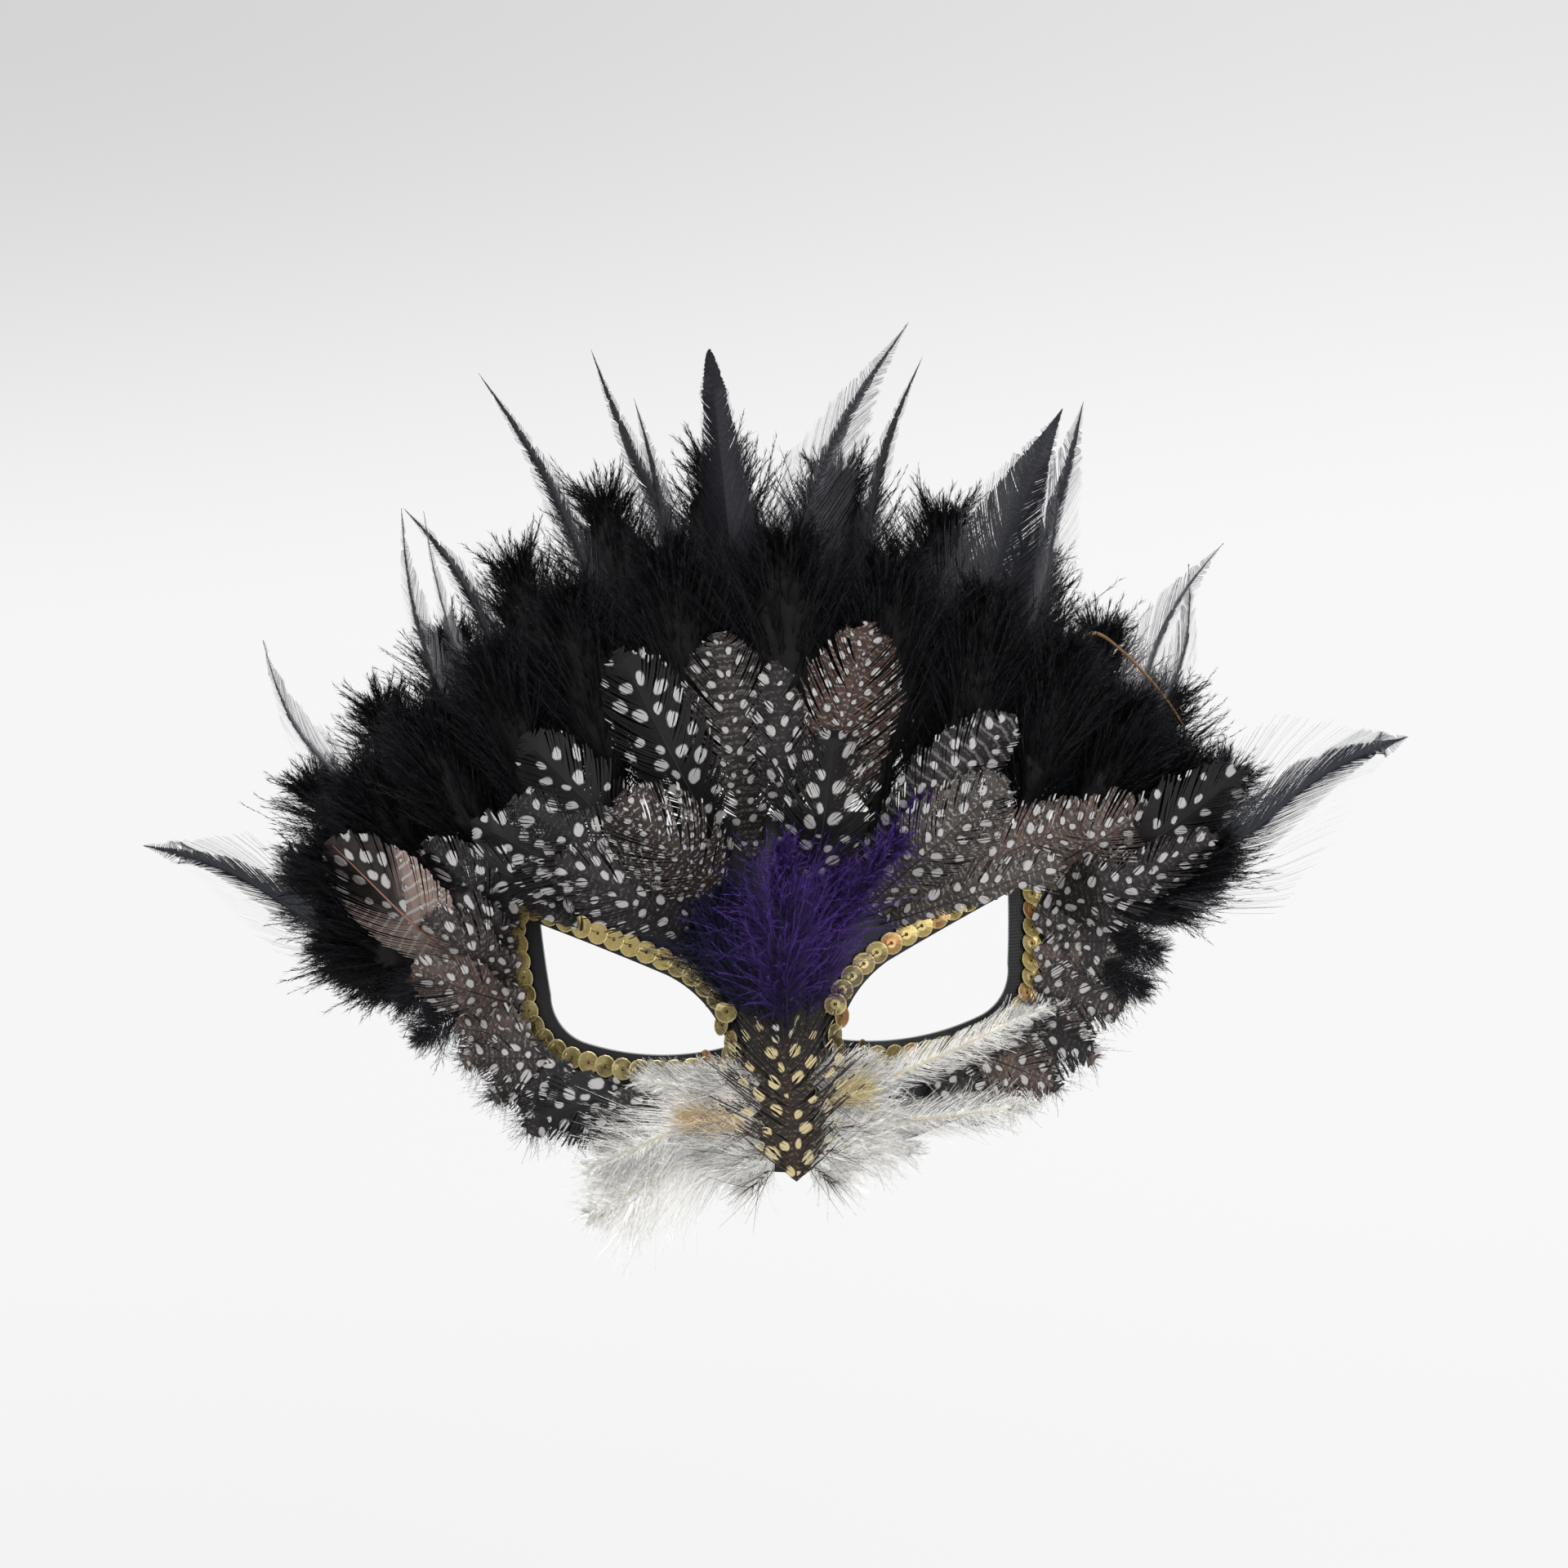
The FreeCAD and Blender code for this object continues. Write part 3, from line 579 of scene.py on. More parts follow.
def make_marks_group():
    """Oval dots in staggered rows that follow the barbs and shrink by the shaft, bars across the
    feather and broken wavy lines, on its own lie in millimetres.  The lie is folded over the
    shaft, and one side is shifted along it, so that the sides aren't alike."""
    tree, start, end = group(
        "feather_marks",
        [("Lie", "NodeSocketVector", None), ("Radius", "NodeSocketFloat", 1.0),
         ("Spacing", "NodeSocketFloat", 4.0), ("Waver", "NodeSocketFloat", 0.4)],
        [("Dots", "NodeSocketFloat"), ("Rings", "NodeSocketFloat"), ("Bars", "NodeSocketFloat"),
         ("Mottle", "NodeSocketFloat")])
    radius, spacing = start.outputs["Radius"], start.outputs["Spacing"]
    across, along, _ = node(tree, "ShaderNodeSeparateXYZ", {0: start.outputs["Lie"]}).outputs
    aside = maths(tree, "ABSOLUTE", across)
    shift = times(tree, maths(tree, "GREATER_THAN", across, 0.0), 17.3)
    folded = node(tree, "ShaderNodeCombineXYZ", {0: aside, 1: plus(tree, along, shift)}).outputs[0]
    drift = node(tree, "ShaderNodeTexNoise", {"Vector": folded, "Scale": 0.22, "Detail": 1.0})
    centred = node(tree, "ShaderNodeVectorMath", {0: drift.outputs[1], 1: (0.5, 0.5, 0.5)},
                   operation="SUBTRACT")
    pushed = node(tree, "ShaderNodeVectorMath", {0: centred.outputs[0], 3: 2.0}, operation="SCALE")
    lie = node(tree, "ShaderNodeVectorMath", {0: folded, 1: pushed.outputs[0]}).outputs[0]
    turned = node(tree, "ShaderNodeMapping", {"Vector": lie, "Rotation": (0, 0, radians(-45))}).outputs[0]
    oval = node(tree, "ShaderNodeVectorMath", {0: turned, 1: (0.82, 1.08, 1.0)}, operation="MULTIPLY")
    cells = node(tree, "ShaderNodeTexVoronoi",
                 {"Vector": oval.outputs[0], "Scale": maths(tree, "DIVIDE", 1.0, spacing),
                  "Randomness": start.outputs["Waver"]}, voronoi_dimensions="2D")
    ragged = noise(tree, lie, 1.6, 2.0)
    away = plus(tree, times(tree, cells.outputs["Distance"], spacing),
                times(tree, maths(tree, "SUBTRACT", ragged, 0.5), 0.4))
    each = plus(tree, times(tree, cells.outputs["Color"], 0.6), 0.65)
    size = times(tree, times(tree, radius, each), ramp(tree, aside, 0.0, 1.6, 0.45, 1.0))
    dots = ramp(tree, away, size, times(tree, size, 0.7))
    rings = ramp(tree, away, times(tree, size, 1.9), times(tree, size, 1.1))
    slope = times(tree, aside, 0.5)
    row = plus(tree, plus(tree, times(tree, along, 2.3), slope), times(tree, ragged, 1.6))
    bars = ramp(tree, maths(tree, "SINE", row), 0.55, 0.9)
    worm = plus(tree, times(tree, along, 4.6), slope)
    worm = plus(tree, worm, times(tree, noise(tree, lie, 0.7, 2.0), 11.0))
    lines = ramp(tree, maths(tree, "SINE", worm), 0.35, 0.85)
    mottle = times(tree, lines, ramp(tree, noise(tree, lie, 0.9, 1.0), 0.42, 0.56))
    feed(tree, end, {"Dots": dots, "Rings": rings, "Bars": bars, "Mottle": mottle})


# fineness and spread of tone, roughness, specular level and bump of each kind of fibre
FIBRES = {
    "dyed_down": (1400.0, 0.5, 0.62, 0.3, 0.0),
    "hackle_barbs": (1100.0, 0.35, 0.45, 0.45, 0.0),
    "bare_horn": (500.0, 0.25, 0.4, 0.5, 0.2),
}


def fibre_material(name):
    """Dyed down, smooth hackle or the bare horn of a quill, made once: the dye changes a little
    from fibre to fibre."""
    if name in bpy.data.materials:
        return bpy.data.materials[name]
    fineness, spread, roughness, specular, height = FIBRES[name]
    made, tree, shader = material(name, Roughness=roughness, Specular_IOR_Level=specular)
    tone = fibres(tree, fineness, spread)
    feed(tree, shader, {"Base Color": tone[0]})
    if height:
        feed(tree, shader, {"Normal": bump(tree, tone[1], height, 0.0002)})
    return made


def spotted_material(name, spot, ring_share, ring):
    """A spotted vane, made once: dye as the ground, and white dots where its alpha is 0.  Marks
    give the dots' radius and spacing in centimetres, then the share of mottle and of bars."""
    if name in bpy.data.materials:
        return bpy.data.materials[name]
    made, tree, shader = material(name, Roughness=0.55, Specular_IOR_Level=0.35)
    radius, spacing, mottle = node(tree, "ShaderNodeSeparateColor", {0: attribute(tree, "marks")}).outputs
    radius = times(tree, radius, CENTIMETRE)
    spacing = maths(tree, "MAXIMUM", times(tree, spacing, CENTIMETRE), 0.5)
    marks = use(tree, "feather_marks", {"Lie": lie_place(tree), "Radius": radius, "Spacing": spacing}).outputs
    ground = fibres(tree, 1300.0, 0.3)[0]
    spot = mixed(tree, attribute(tree, "dye", "Alpha"), rgb(224, 224, 226), spot)
    pale = mixed(tree, 0.6, ground, spot)
    ground = mixed(tree, times(tree, marks["Mottle"], mottle), ground, pale)
    ground = mixed(tree, marks["Rings"], ground, mixed(tree, ring_share, ground, ring))
    bar = times(tree, marks["Bars"], attribute(tree, "marks", "Alpha"))
    ground = mixed(tree, times(tree, bar, 0.75), ground, spot)
    seen = times(tree, marks["Dots"], maths(tree, "GREATER_THAN", radius, 0.05))
    feed(tree, shader, {"Base Color": mixed(tree, times(tree, seen, 0.96), ground, spot)})
    return made


def guinea_material(colours):
    return spotted_material("guinea_vane", tuple(colours.guinea_dot), 0.5, rgb(18, 16, 16))


def sequin_material(rim):
    """Thin gold film: a painted highlight that brightens it towards the rim, paler random patches, and fine
    scratches in the gloss.
    """
    made, tree, shader = material("sequin_film", Roughness=0.2, Metallic=0.6, Coat_Weight=0.6,
                                  Coat_Roughness=0.08)
    place, out = object_place(tree), node(tree, "ShaderNodeSeparateXYZ", {0: lie_place(tree)}).outputs[0]
    patches = ramp(tree, noise(tree, place, 320.0, 2.0), 0.35, 0.7, 0.0, 0.45)
    dye = mixed(tree, patches, attribute(tree, "dye"), rim)
    scratches = ramp(tree, noise(tree, place, 2600.0, 2.0), 0.3, 0.8, 0.14, 0.34)
    # painted highlight: by the lie's share of the radius, the film is mixed towards the pale rim gold near
    # the rim
    feed(tree, shader, {"Base Color": mixed(tree, ramp(tree, out, 0.8, 0.95, 0.0, 0.65), dye, rim),
                        "Roughness": scratches})
    return made


def thread_material(colour):
    """Twisted thread: slanting plies in the bump."""
    made, tree, shader = material("gold_thread", Roughness=0.5, Metallic=0.3)
    plies = wave(tree, object_place(tree), 900.0, 2.0, "DIAGONAL")
    dark = tuple(0.4 * c for c in colour[:3]) + (1.0,)
    feed(tree, shader, {"Base Color": mixed(tree, ramp(tree, plies, 0.2, 0.8, 0.0, 0.5), colour, dark),
                        "Normal": bump(tree, plies, 0.4, 0.0002)})
    return made


def satin_material(colour):
    """Satin: a fine weave of floats, soft folds in tone and a low sheen."""
    made, tree, shader = material("black_satin", Roughness=0.38, Sheen_Weight=0.3, Sheen_Roughness=0.4)
    place = object_place(tree)
    warp, weft = wave(tree, place, 700.0, 0.6, "X"), wave(tree, place, 420.0, 0.6, "Z")
    weave = plus(tree, times(tree, warp, 0.65), times(tree, weft, 0.35))
    tone = fibres(tree, 260.0, 0.35, colour)[0]
    feed(tree, shader, {"Base Color": mixed(tree, times(tree, weave, 0.35), tone, rgb(42, 42, 48)),
                        "Roughness": ramp(tree, noise(tree, place, 90.0, 2.0), 0.3, 0.7, 0.3, 0.5),
                        "Normal": bump(tree, weave, 0.3, 0.0002)})
    return made


def felt_material(colour):
    """Felt: short matted fibres, a little fluff paler than the rest."""
    made, tree, shader = material("lining_felt", Roughness=0.95, Sheen_Weight=0.45, Sheen_Roughness=0.6)
    tone = fibres(tree, 900.0, 0.5, colour)
    strands = node(tree, "ShaderNodeTexVoronoi", {"Vector": object_place(tree), "Scale": 1300.0},
                   feature="DISTANCE_TO_EDGE").outputs[0]
    height = plus(tree, tone[1], times(tree, strands, 0.6))
    pale = ramp(tree, strands, 0.06, 0.0, 0.0, 0.35)
    feed(tree, shader, {"Base Color": mixed(tree, pale, tone[0], rgb(88, 88, 92)),
                        "Normal": bump(tree, height, 0.6, 0.0004)})
    return made


def board_material(colour):
    """Pressed board: pulp grain and pale flecks."""
    made, tree, shader = material("pressed_board", Roughness=0.8)
    tone = fibres(tree, 420.0, 0.4, colour)
    flecks = ramp(tree, noise(tree, object_place(tree), 1500.0, 2.0), 0.62, 0.7, 0.0, 0.4)
    feed(tree, shader, {"Base Color": mixed(tree, flecks, tone[0], rgb(120, 112, 100)),
                        "Normal": bump(tree, tone[1], 0.35, 0.0003)})
    return made


def enamel_material(colour):
    """Enamelled metal: an even gloss with wear in small specks."""
    made, tree, shader = material("eyelet_enamel", Roughness=0.28, Coat_Weight=0.5, Coat_Roughness=0.1)
    place = object_place(tree)
    worn = ramp(tree, noise(tree, place, 900.0, 4.0, 0.7), 0.62, 0.68)
    feed(tree, shader, {"Base Color": mixed(tree, worn, colour, rgb(120, 118, 112)),
                        "Metallic": times(tree, worn, 0.9),
                        "Roughness": ramp(tree, noise(tree, place, 300.0), 0.3, 0.7, 0.22, 0.38)})
    return made


# ---------------------------------------------------------------- sizes and colours to change
def colour_property(name, text, value):
    return FloatVectorProperty(name=name, description=text, subtype="COLOR", size=4, min=0.0, max=1.0,
                               default=value)


class MasqueradeColours(bpy.types.PropertyGroup):
    marabou: colour_property("Marabou", "Down of the dome, near the shafts", rgb(8, 8, 12))
    marabou_edge: colour_property("Marabou ends", "Down of the dome, at the barbs' ends", rgb(14, 15, 21))
    purple: colour_property("Purple", "Brow plume, near the shafts", rgb(34, 22, 58))
    # the paler purple of the barbs' ends is a painted highlight
    purple_painted_highlight: colour_property("Purple ends", "Brow plume, at the ends", rgb(88, 56, 146))
    navy: colour_property("Navy", "Dark plume beside it", rgb(17, 16, 34))
    white: colour_property("White", "White wisps of the cheeks", rgb(250, 249, 245))
    cream: colour_property("Cream", "Shafts of the white wisps", rgb(226, 214, 186))
    beak: colour_property("Brown", "Ground of the nose feather", rgb(50, 39, 35))
    beak_dot: colour_property("Cream dots", "Dots of the nose feather", rgb(226, 208, 158))
    guinea_dot: colour_property("White dots", "Dots of the spotted feathers", rgb(206, 204, 202))
    # gold: the painted lit copy of the sequins' gold, for the sequins that face the light
    gold: colour_property("Gold", "Sequins that face the light", rgb(222, 196, 118))
    # olive: a painted shaded copy of the sequins' gold, for the sequins that the light from above doesn't
    # reach
    olive_painted_shade: colour_property("Olive", "Sequins that the satin shows through", rgb(104, 92, 48))
    amber: colour_property("Amber", "Odd warm sequins", rgb(190, 112, 58))
    thread: colour_property("Thread", "Thread of the sequins", rgb(190, 160, 96))
    satin: colour_property("Satin", "Cover and bindings", rgb(16, 16, 19))
    felt: colour_property("Felt", "Lining", rgb(38, 38, 41))
    board: colour_property("Board", "Moulded base", rgb(52, 49, 45))
    enamel: colour_property("Enamel", "Eyelets", rgb(22, 22, 24))
    quill: colour_property("Quill", "Bare tan quill", rgb(150, 112, 70))


class MasqueradeSizes(bpy.types.PropertyGroup):
    barbs: IntProperty(name="Barbs", description="Barbs of each plume of the dome", default=620,
                       min=20, max=800)
    barbules: IntProperty(name="Barbules", description="Barbules on each barb", default=44, min=4, max=80)
    fluff: FloatProperty(name="Fluff", description="Length of the longest barbules in millimetres",
                         default=3.4, min=1.0, max=12.0)
    sequin_cup: FloatProperty(name="Cup", description="How far a sequin's rim stands up, in millimetres",
                              default=0.28, min=0.0, max=1.0)
    sequin_shift: FloatProperty(name="Shift", default=0.7, min=0.0, max=2.0,
                                description="How far the sequins lie in towards the eye, in millimetres")
    view_width: FloatProperty(name="View width", description="What the camera takes in, in metres",
                              default=0.3556, unit="LENGTH", min=0.1, max=2.0)
    view_roll: FloatProperty(name="View roll", description="How far the camera is turned",
                             default=radians(3.9), subtype="ANGLE")


# ---------------------------------------------------------------- operators
class Piece(bpy.types.Operator):
    """One piece of the mask"""
    bl_options = {"REGISTER"}

    def execute(self, context):
        scene = context.scene
        for name, make in (("fibre_tone", make_fibre_group), ("feather_marks", make_marks_group)):
            if name not in bpy.data.node_groups:
                make()
        self.build(scene.masquerade_sizes, scene.masquerade_colours)
        return {"FINISHED"}


class MASQUERADE_OT_base(Piece):
    """Finish the base: satin on cover and bindings, board, felt lining and enamelled eyelets"""
    bl_idname = "masquerade.base"
    bl_label = "Base"

    def build(self, sizes, colours):
        finishes = (
            (satin_material(tuple(colours.satin)), ("front_cover", "eye_binding_left", "eye_binding_right")),
            (felt_material(tuple(colours.felt)), ("face_lining",)),
            (board_material(tuple(colours.board)), ("mask_shell",)),
            (enamel_material(tuple(colours.enamel)), ("eyelet_left", "eyelet_right")),
        )
        for finish, names in finishes:
            for name in names:
                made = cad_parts[name]
                if not made.material_slots:
                    made.data.materials.append(finish)
                for slot in made.material_slots:
                    slot.material = finish


class MASQUERADE_OT_sequins(Piece):
    """Cupped gold sequins round the eyes, and the thread they are strung on"""
    bl_idname = "masquerade.sequins"
    bl_label = "Sequins"

    def build(self, sizes, colours):
        # rgb(238, 220, 156) is the pale gold of the painted rim highlight, also used for the paler random
        # patches
        film = sequin_material(rgb(238, 220, 156))
        yarn = thread_material(tuple(colours.thread))
        rng = np.random.default_rng(11)
        for name in ("left", "right"):
            self.trim(name, sizes, colours, film, yarn, rng)

    def trim(self, name, sizes, colours, film, yarn, rng):
        """A sequin is a profile turned round its axis: up its front from the hole over a flat
        middle and a rising cone to the rim, and back along its other side."""
        discs = solids("sequin_trim_" + name)
        middles = np.array([d.mean(0) for d in discs])
        axes = np.array([np.linalg.svd(d - d.mean(0))[2][2] for d in discs])
        axes *= np.where(axes[:, 1:2] > 0, -1.0, 1.0)
        centre = middles.mean(0)
        around = np.arctan2(middles[:, 2] - centre[2], middles[:, 0] - centre[0])
        order = np.argsort(around)
        middles, axes = middles[order], axes[order]
        ahead = unit(np.roll(middles, -1, 0) - np.roll(middles, 1, 0))
        middles = middles - np.cross(ahead, axes) * sizes.sequin_shift
        axes = unit(axes + ahead * 0.12)
        cup = sizes.sequin_cup
        profile = np.array([(0.42, 0.06), (1.15, 0.06), (2.5, 0.06 + cup), (2.65, cup), (1.15, -0.04),
                            (0.42, -0.04)])
        facets = 14
        turn = 2 * pi * np.arange(facets) / facets
        side = unit(np.cross(axes, np.array([0.3, 0.2, 1.0])))
        other = np.cross(axes, side)
        spin = rng.random(len(middles)) * 2 * pi
        angle = turn[None, :] + spin[:, None]
        circle = (side[:, None] * np.cos(angle)[..., None] + other[:, None] * np.sin(angle)[..., None])
        co = (middles[:, None, None] + circle[:, None] * profile[None, :, 0, None, None]
              + (axes[:, None] * profile[None, :, 1, None])[:, :, None])
        # painted light: sequins high on the lids and on the right eye's outer side get the painted lit gold,
        # the others the painted shaded olive, with a little random change between them
        high = np.clip((middles[:, 2] - centre[2] - 2.0) / 8.0, 0, 1)
        outer = np.clip((middles[:, 0] - centre[0] - 10.0) / 8.0, 0, 1) * (name == "right")
        painted_light_share = np.maximum(high, outer) * 0.9 + 0.1 + rng.normal(0, 0.18, len(middles))
        painted_light_share = np.clip(painted_light_share, 0, 1)[:, None]
        dye = np.array(colours.olive_painted_shade) * (1 - painted_light_share) + np.array(colours.gold) * painted_light_share
        warm = (rng.random(len(middles)) < 0.14)[:, None] * 0.7
        dye = dye * (1 - warm) + np.array(colours.amber) * warm
        lie = np.stack([profile[:, 0] / profile[:, 0].max(), profile[:, 1]], -1)
        lie = np.broadcast_to(lie[None, :, None], co.shape[:-1] + (2,))
        heap = Heap()
        heap.grid(co, dye[:, None, None], (0, 0, 0, 0), lie, loop=True, turn=True)
        heap.piece("sequins_" + name, film, ["sequin_trim_" + name], "gold_sequin", smooth=False)

        heap = Heap()
        plain = (0.5, 0.5, 0.5, 1)
        tubes(heap, middles - axes * 0.32, np.full(len(middles), 0.2), plain, ring=True, ends=False)
        ahead = np.roll(middles, -1, 0) - middles
        q = np.linspace(0, 1, 8)
        arch = (np.sin(q * pi) * 0.28 + 0.02 + 0.2 * q)[None, :, None]
        stitch = middles[:, None] + ahead[:, None] * (q * 0.52)[None, :, None] + axes[:, None] * arch
        tubes(heap, stitch, np.full(stitch.shape[:-1], 0.11), plain, sides=5)
        heap.piece("sequin_thread_" + name, yarn, ["trim_thread_" + name], "gold_thread")


class MASQUERADE_OT_marabou(Piece):
    """The dome of black marabou plumes, in a back row and a front row"""
    bl_idname = "masquerade.marabou"
    bl_label = "Marabou"

    def build(self, sizes, colours):
        soft = fibre_material("dyed_down")
        rng = np.random.default_rng(21)
        for row in ("back", "front"):
            for part in ("left", "crown", "right"):
                heap = Heap()
                for quill in quills(f"marabou_{row}_{part}", 6, wide=1.2, fill=0.55, blunt=0.6):
                    shaft(heap, quill, 0.5, rgb(24, 22, 24))
                    core(heap, quill, rng, rgb(7, 7, 10), share=0.62)
                    down(heap, quill, rng, tuple(colours.marabou), tuple(colours.marabou_edge),
                         barbs=sizes.barbs, barbules=sizes.barbules, fluff=sizes.fluff, overlap=4.0,
                         slant=1.3, roundness=1.2, swirl=0.14, fray=0.2, barb_width=0.36, crowd=0.7)
                heap.piece(f"plumes_{row}_{part}", soft, [f"marabou_{row}_{part}"], "black_marabou")


class MASQUERADE_OT_hackles(Piece):
    """Thin hackles that stand out of the dome"""
    bl_idname = "masquerade.hackles"
    bl_label = "Hackles"

    # dye of the core and of the sides, whose paler grey is partly the barbs' own grey and partly
    # painted light shining through the thin barbs, width against the solid, share of it that the
    # core takes, and sideways bow
    LOOKS = {
        "left_low": (rgb(38, 39, 47), rgb(84, 86, 95), 2.8, 0.35, 3.0),
        "left_upright": (rgb(66, 66, 72), rgb(142, 142, 146), 2.4, 0.16, -6.0),
        "left_grey": (rgb(44, 44, 50), rgb(132, 132, 136), 2.4, 0.2, -3.0),
        "left_curved": (rgb(22, 22, 28), rgb(70, 70, 77), 1.7, 0.5, 3.5),
        "left_pale": (rgb(78, 78, 84), rgb(150, 150, 154), 1.6, 0.15, -2.0),
        "crown_left": (rgb(24, 24, 31), rgb(76, 76, 83), 1.55, 0.5, 2.5),
        "crown_pair_long": (rgb(22, 22, 28), rgb(70, 70, 77), 1.6, 0.5, -2.0),
        "crown_pair_short": (rgb(28, 28, 34), rgb(78, 78, 84), 1.9, 0.3, 2.5),
        "crown_blunt": (rgb(26, 27, 35), rgb(56, 57, 66), 1.7, 0.86, 0.0),
        "crown_clear": (rgb(30, 30, 37), rgb(112, 112, 118), 2.5, 0.26, -4.0),
        "crown_thin": (rgb(22, 22, 28), rgb(66, 66, 73), 1.55, 0.5, -3.5),
        "right_broad": (rgb(23, 24, 33), rgb(70, 72, 82), 2.4, 0.72, -1.5),
        "right_dark": (rgb(34, 35, 43), rgb(90, 91, 98), 2.8, 0.3, 2.0),
        "right_thin": (rgb(44, 44, 51), rgb(104, 104, 110), 2.2, 0.25, 2.0),
        "right_crossing": (rgb(70, 70, 76), rgb(142, 142, 146), 2.6, 0.14, -4.0),
        "right_upright": (rgb(66, 66, 72), rgb(138, 138, 142), 3.0, 0.14, 6.5),
        "right_low": (rgb(46, 48, 57), rgb(88, 91, 101), 3.2, 0.35, -3.0),
    }

    def build(self, sizes, colours):
        barbs = fibre_material("hackle_barbs")
        rng = np.random.default_rng(31)
        for name, (dye, edge, wide, middle, bow) in self.LOOKS.items():
            heap = Heap()
            broad = middle > 0.6
            point, blunt = (0.08, 0.9) if name == "crown_blunt" else (0.3, 0.0)
            loose = {"slant": 2.0 if broad else 2.6, "split": 0.6, "fray": 0.06, "taper": 0.4, "pinch": 0.2}
            for quill in quills("hackle_" + name, wide=wide, bow=bow, longer=1.05, point=point, fill=0.5,
                                blunt=blunt):
                shaft(heap, quill, 0.34, dye)
                # the sides take the paler side colour: partly their own grey, partly painted light shining
                # through the thin barbs
                vane(heap, quill, rng, edge, edge, (0, 0, 0, 0), per_mm=2.6, start=0.12, bow=1.4, cover=0.55,
                     bunch_size=9, curl=0.5, steps=7, **loose)
                quill.wide *= middle
                loose.update({"slant": 1.5, "split": 0.1, "fray": 0.05, "taper": 0.8, "pinch": 0.05} if broad
                             else {"split": 0.3})
                vane(heap, quill, rng, dye, dye, (0, 0, 0, 0), per_mm=3.2, start=0.1, bow=1.3, cover=1.7,
                     bunch_size=9, curl=0.3, steps=5, **loose)
            heap.piece("spike_" + name, barbs, ["hackle_" + name], "black_hackle")


# ground, dot radius and spacing in millimetres, mottle and bars
GUINEA_LOOKS = {
    "bold": (rgb(22, 20, 22), 1.6, 4.8, 0.0, 0.0),
    "oval": (rgb(32, 29, 31), 1.5, 4.9, 0.15, 0.0),
    "ringed": (rgb(52, 44, 42), 0.95, 3.3, 0.35, 0.1),
    "rust": (rgb(84, 64, 56), 0.8, 3.0, 0.6, 0.0),
    "fine": (rgb(60, 49, 45), 0.66, 2.7, 0.85, 0.0),
    "sparse": (rgb(25, 22, 23), 1.4, 5.4, 0.0, 0.0),
    "barred": (rgb(34, 30, 30), 1.2, 3.9, 0.2, 0.3),
    "grey": (rgb(82, 75, 70), 1.2, 4.2, 0.7, 0.0),
    "dense": (rgb(46, 40, 41), 1.2, 3.8, 0.2, 0.0),
    "temple": (rgb(158, 138, 128), 0.5, 4.6, 0.0, 0.75),
    "fringe": (rgb(62, 54, 51), 1.25, 4.0, 0.4, 0.0),
    "pale": (rgb(94, 78, 71), 1.05, 3.6, 0.5, 0.0),
}


def guinea_look(look):
    """The ground of a look, and its marks."""
    ground, radius, spacing, mottle, bars = GUINEA_LOOKS[look]
    return ground, (radius / CENTIMETRE, spacing / CENTIMETRE, mottle, bars)


class MASQUERADE_OT_guinea(Piece):
    """Spotted feathers fanned over the brow, at the temples and on the cheeks"""
    bl_idname = "masquerade.guinea"
    bl_label = "Spotted feathers"

    # the look of each feather, from left to right by its tip
    ORDER = {
        "forehead": ("sparse", "fine", "bold", "ringed", "dense", "bold", "rust", "grey", "barred"),
        "brow_left": ("bold", "bold", "oval", "dense"),
        "brow_right": ("oval", "grey", "pale"),
        "temple_left": ("temple", "pale", "fringe", "oval", "dense"),
        "cheek_left": ("fringe", "pale", "fringe", "oval", "bold", "dense"),
        "temple_right": ("pale", "dense", "dense", "sparse"),
        "cheek_right": ("dense", "pale", "fringe", "oval", "pale", "dense"),
    }

    def build(self, sizes, colours):
        finish = guinea_material(colours)
        rng = np.random.default_rng(41)
        for part, looks in self.ORDER.items():
            heap = Heap()
            wide, fill = (1.12, 0.3) if part == "forehead" else (1.3, 0.6)
            for quill, look in zip(quills("guinea_" + part, wide=wide, fill=fill, longer=1.05), looks):
                ground, marks = guinea_look(look)
                temple = look == "temple"
                horn = rgb(158, 120, 98) if temple else rgb(48, 42, 40)
                shaft(heap, quill, 0.45 if temple else 0.2, horn, reach=0.97, front=0.3)
                second = (0.52, rgb(50, 41, 38), (0.16, 0.46, 0, 0)) if temple else None
                smooth = {"split": 0.2, "fray": 0.03, "taper": 0.9, "cover": 1.5} if temple else {
                    "split": 0.22, "fray": 0.08, "taper": 0.7, "cover": 1.5}
                vane(heap, quill, rng, ground, ground, marks, per_mm=2.3, start=0.04, clear=5.0, bunch_size=6,
                     curl=0.25, tip=second, **smooth)
            heap.piece("spotted_" + part, finish, ["guinea_" + part], "guinea_feather")


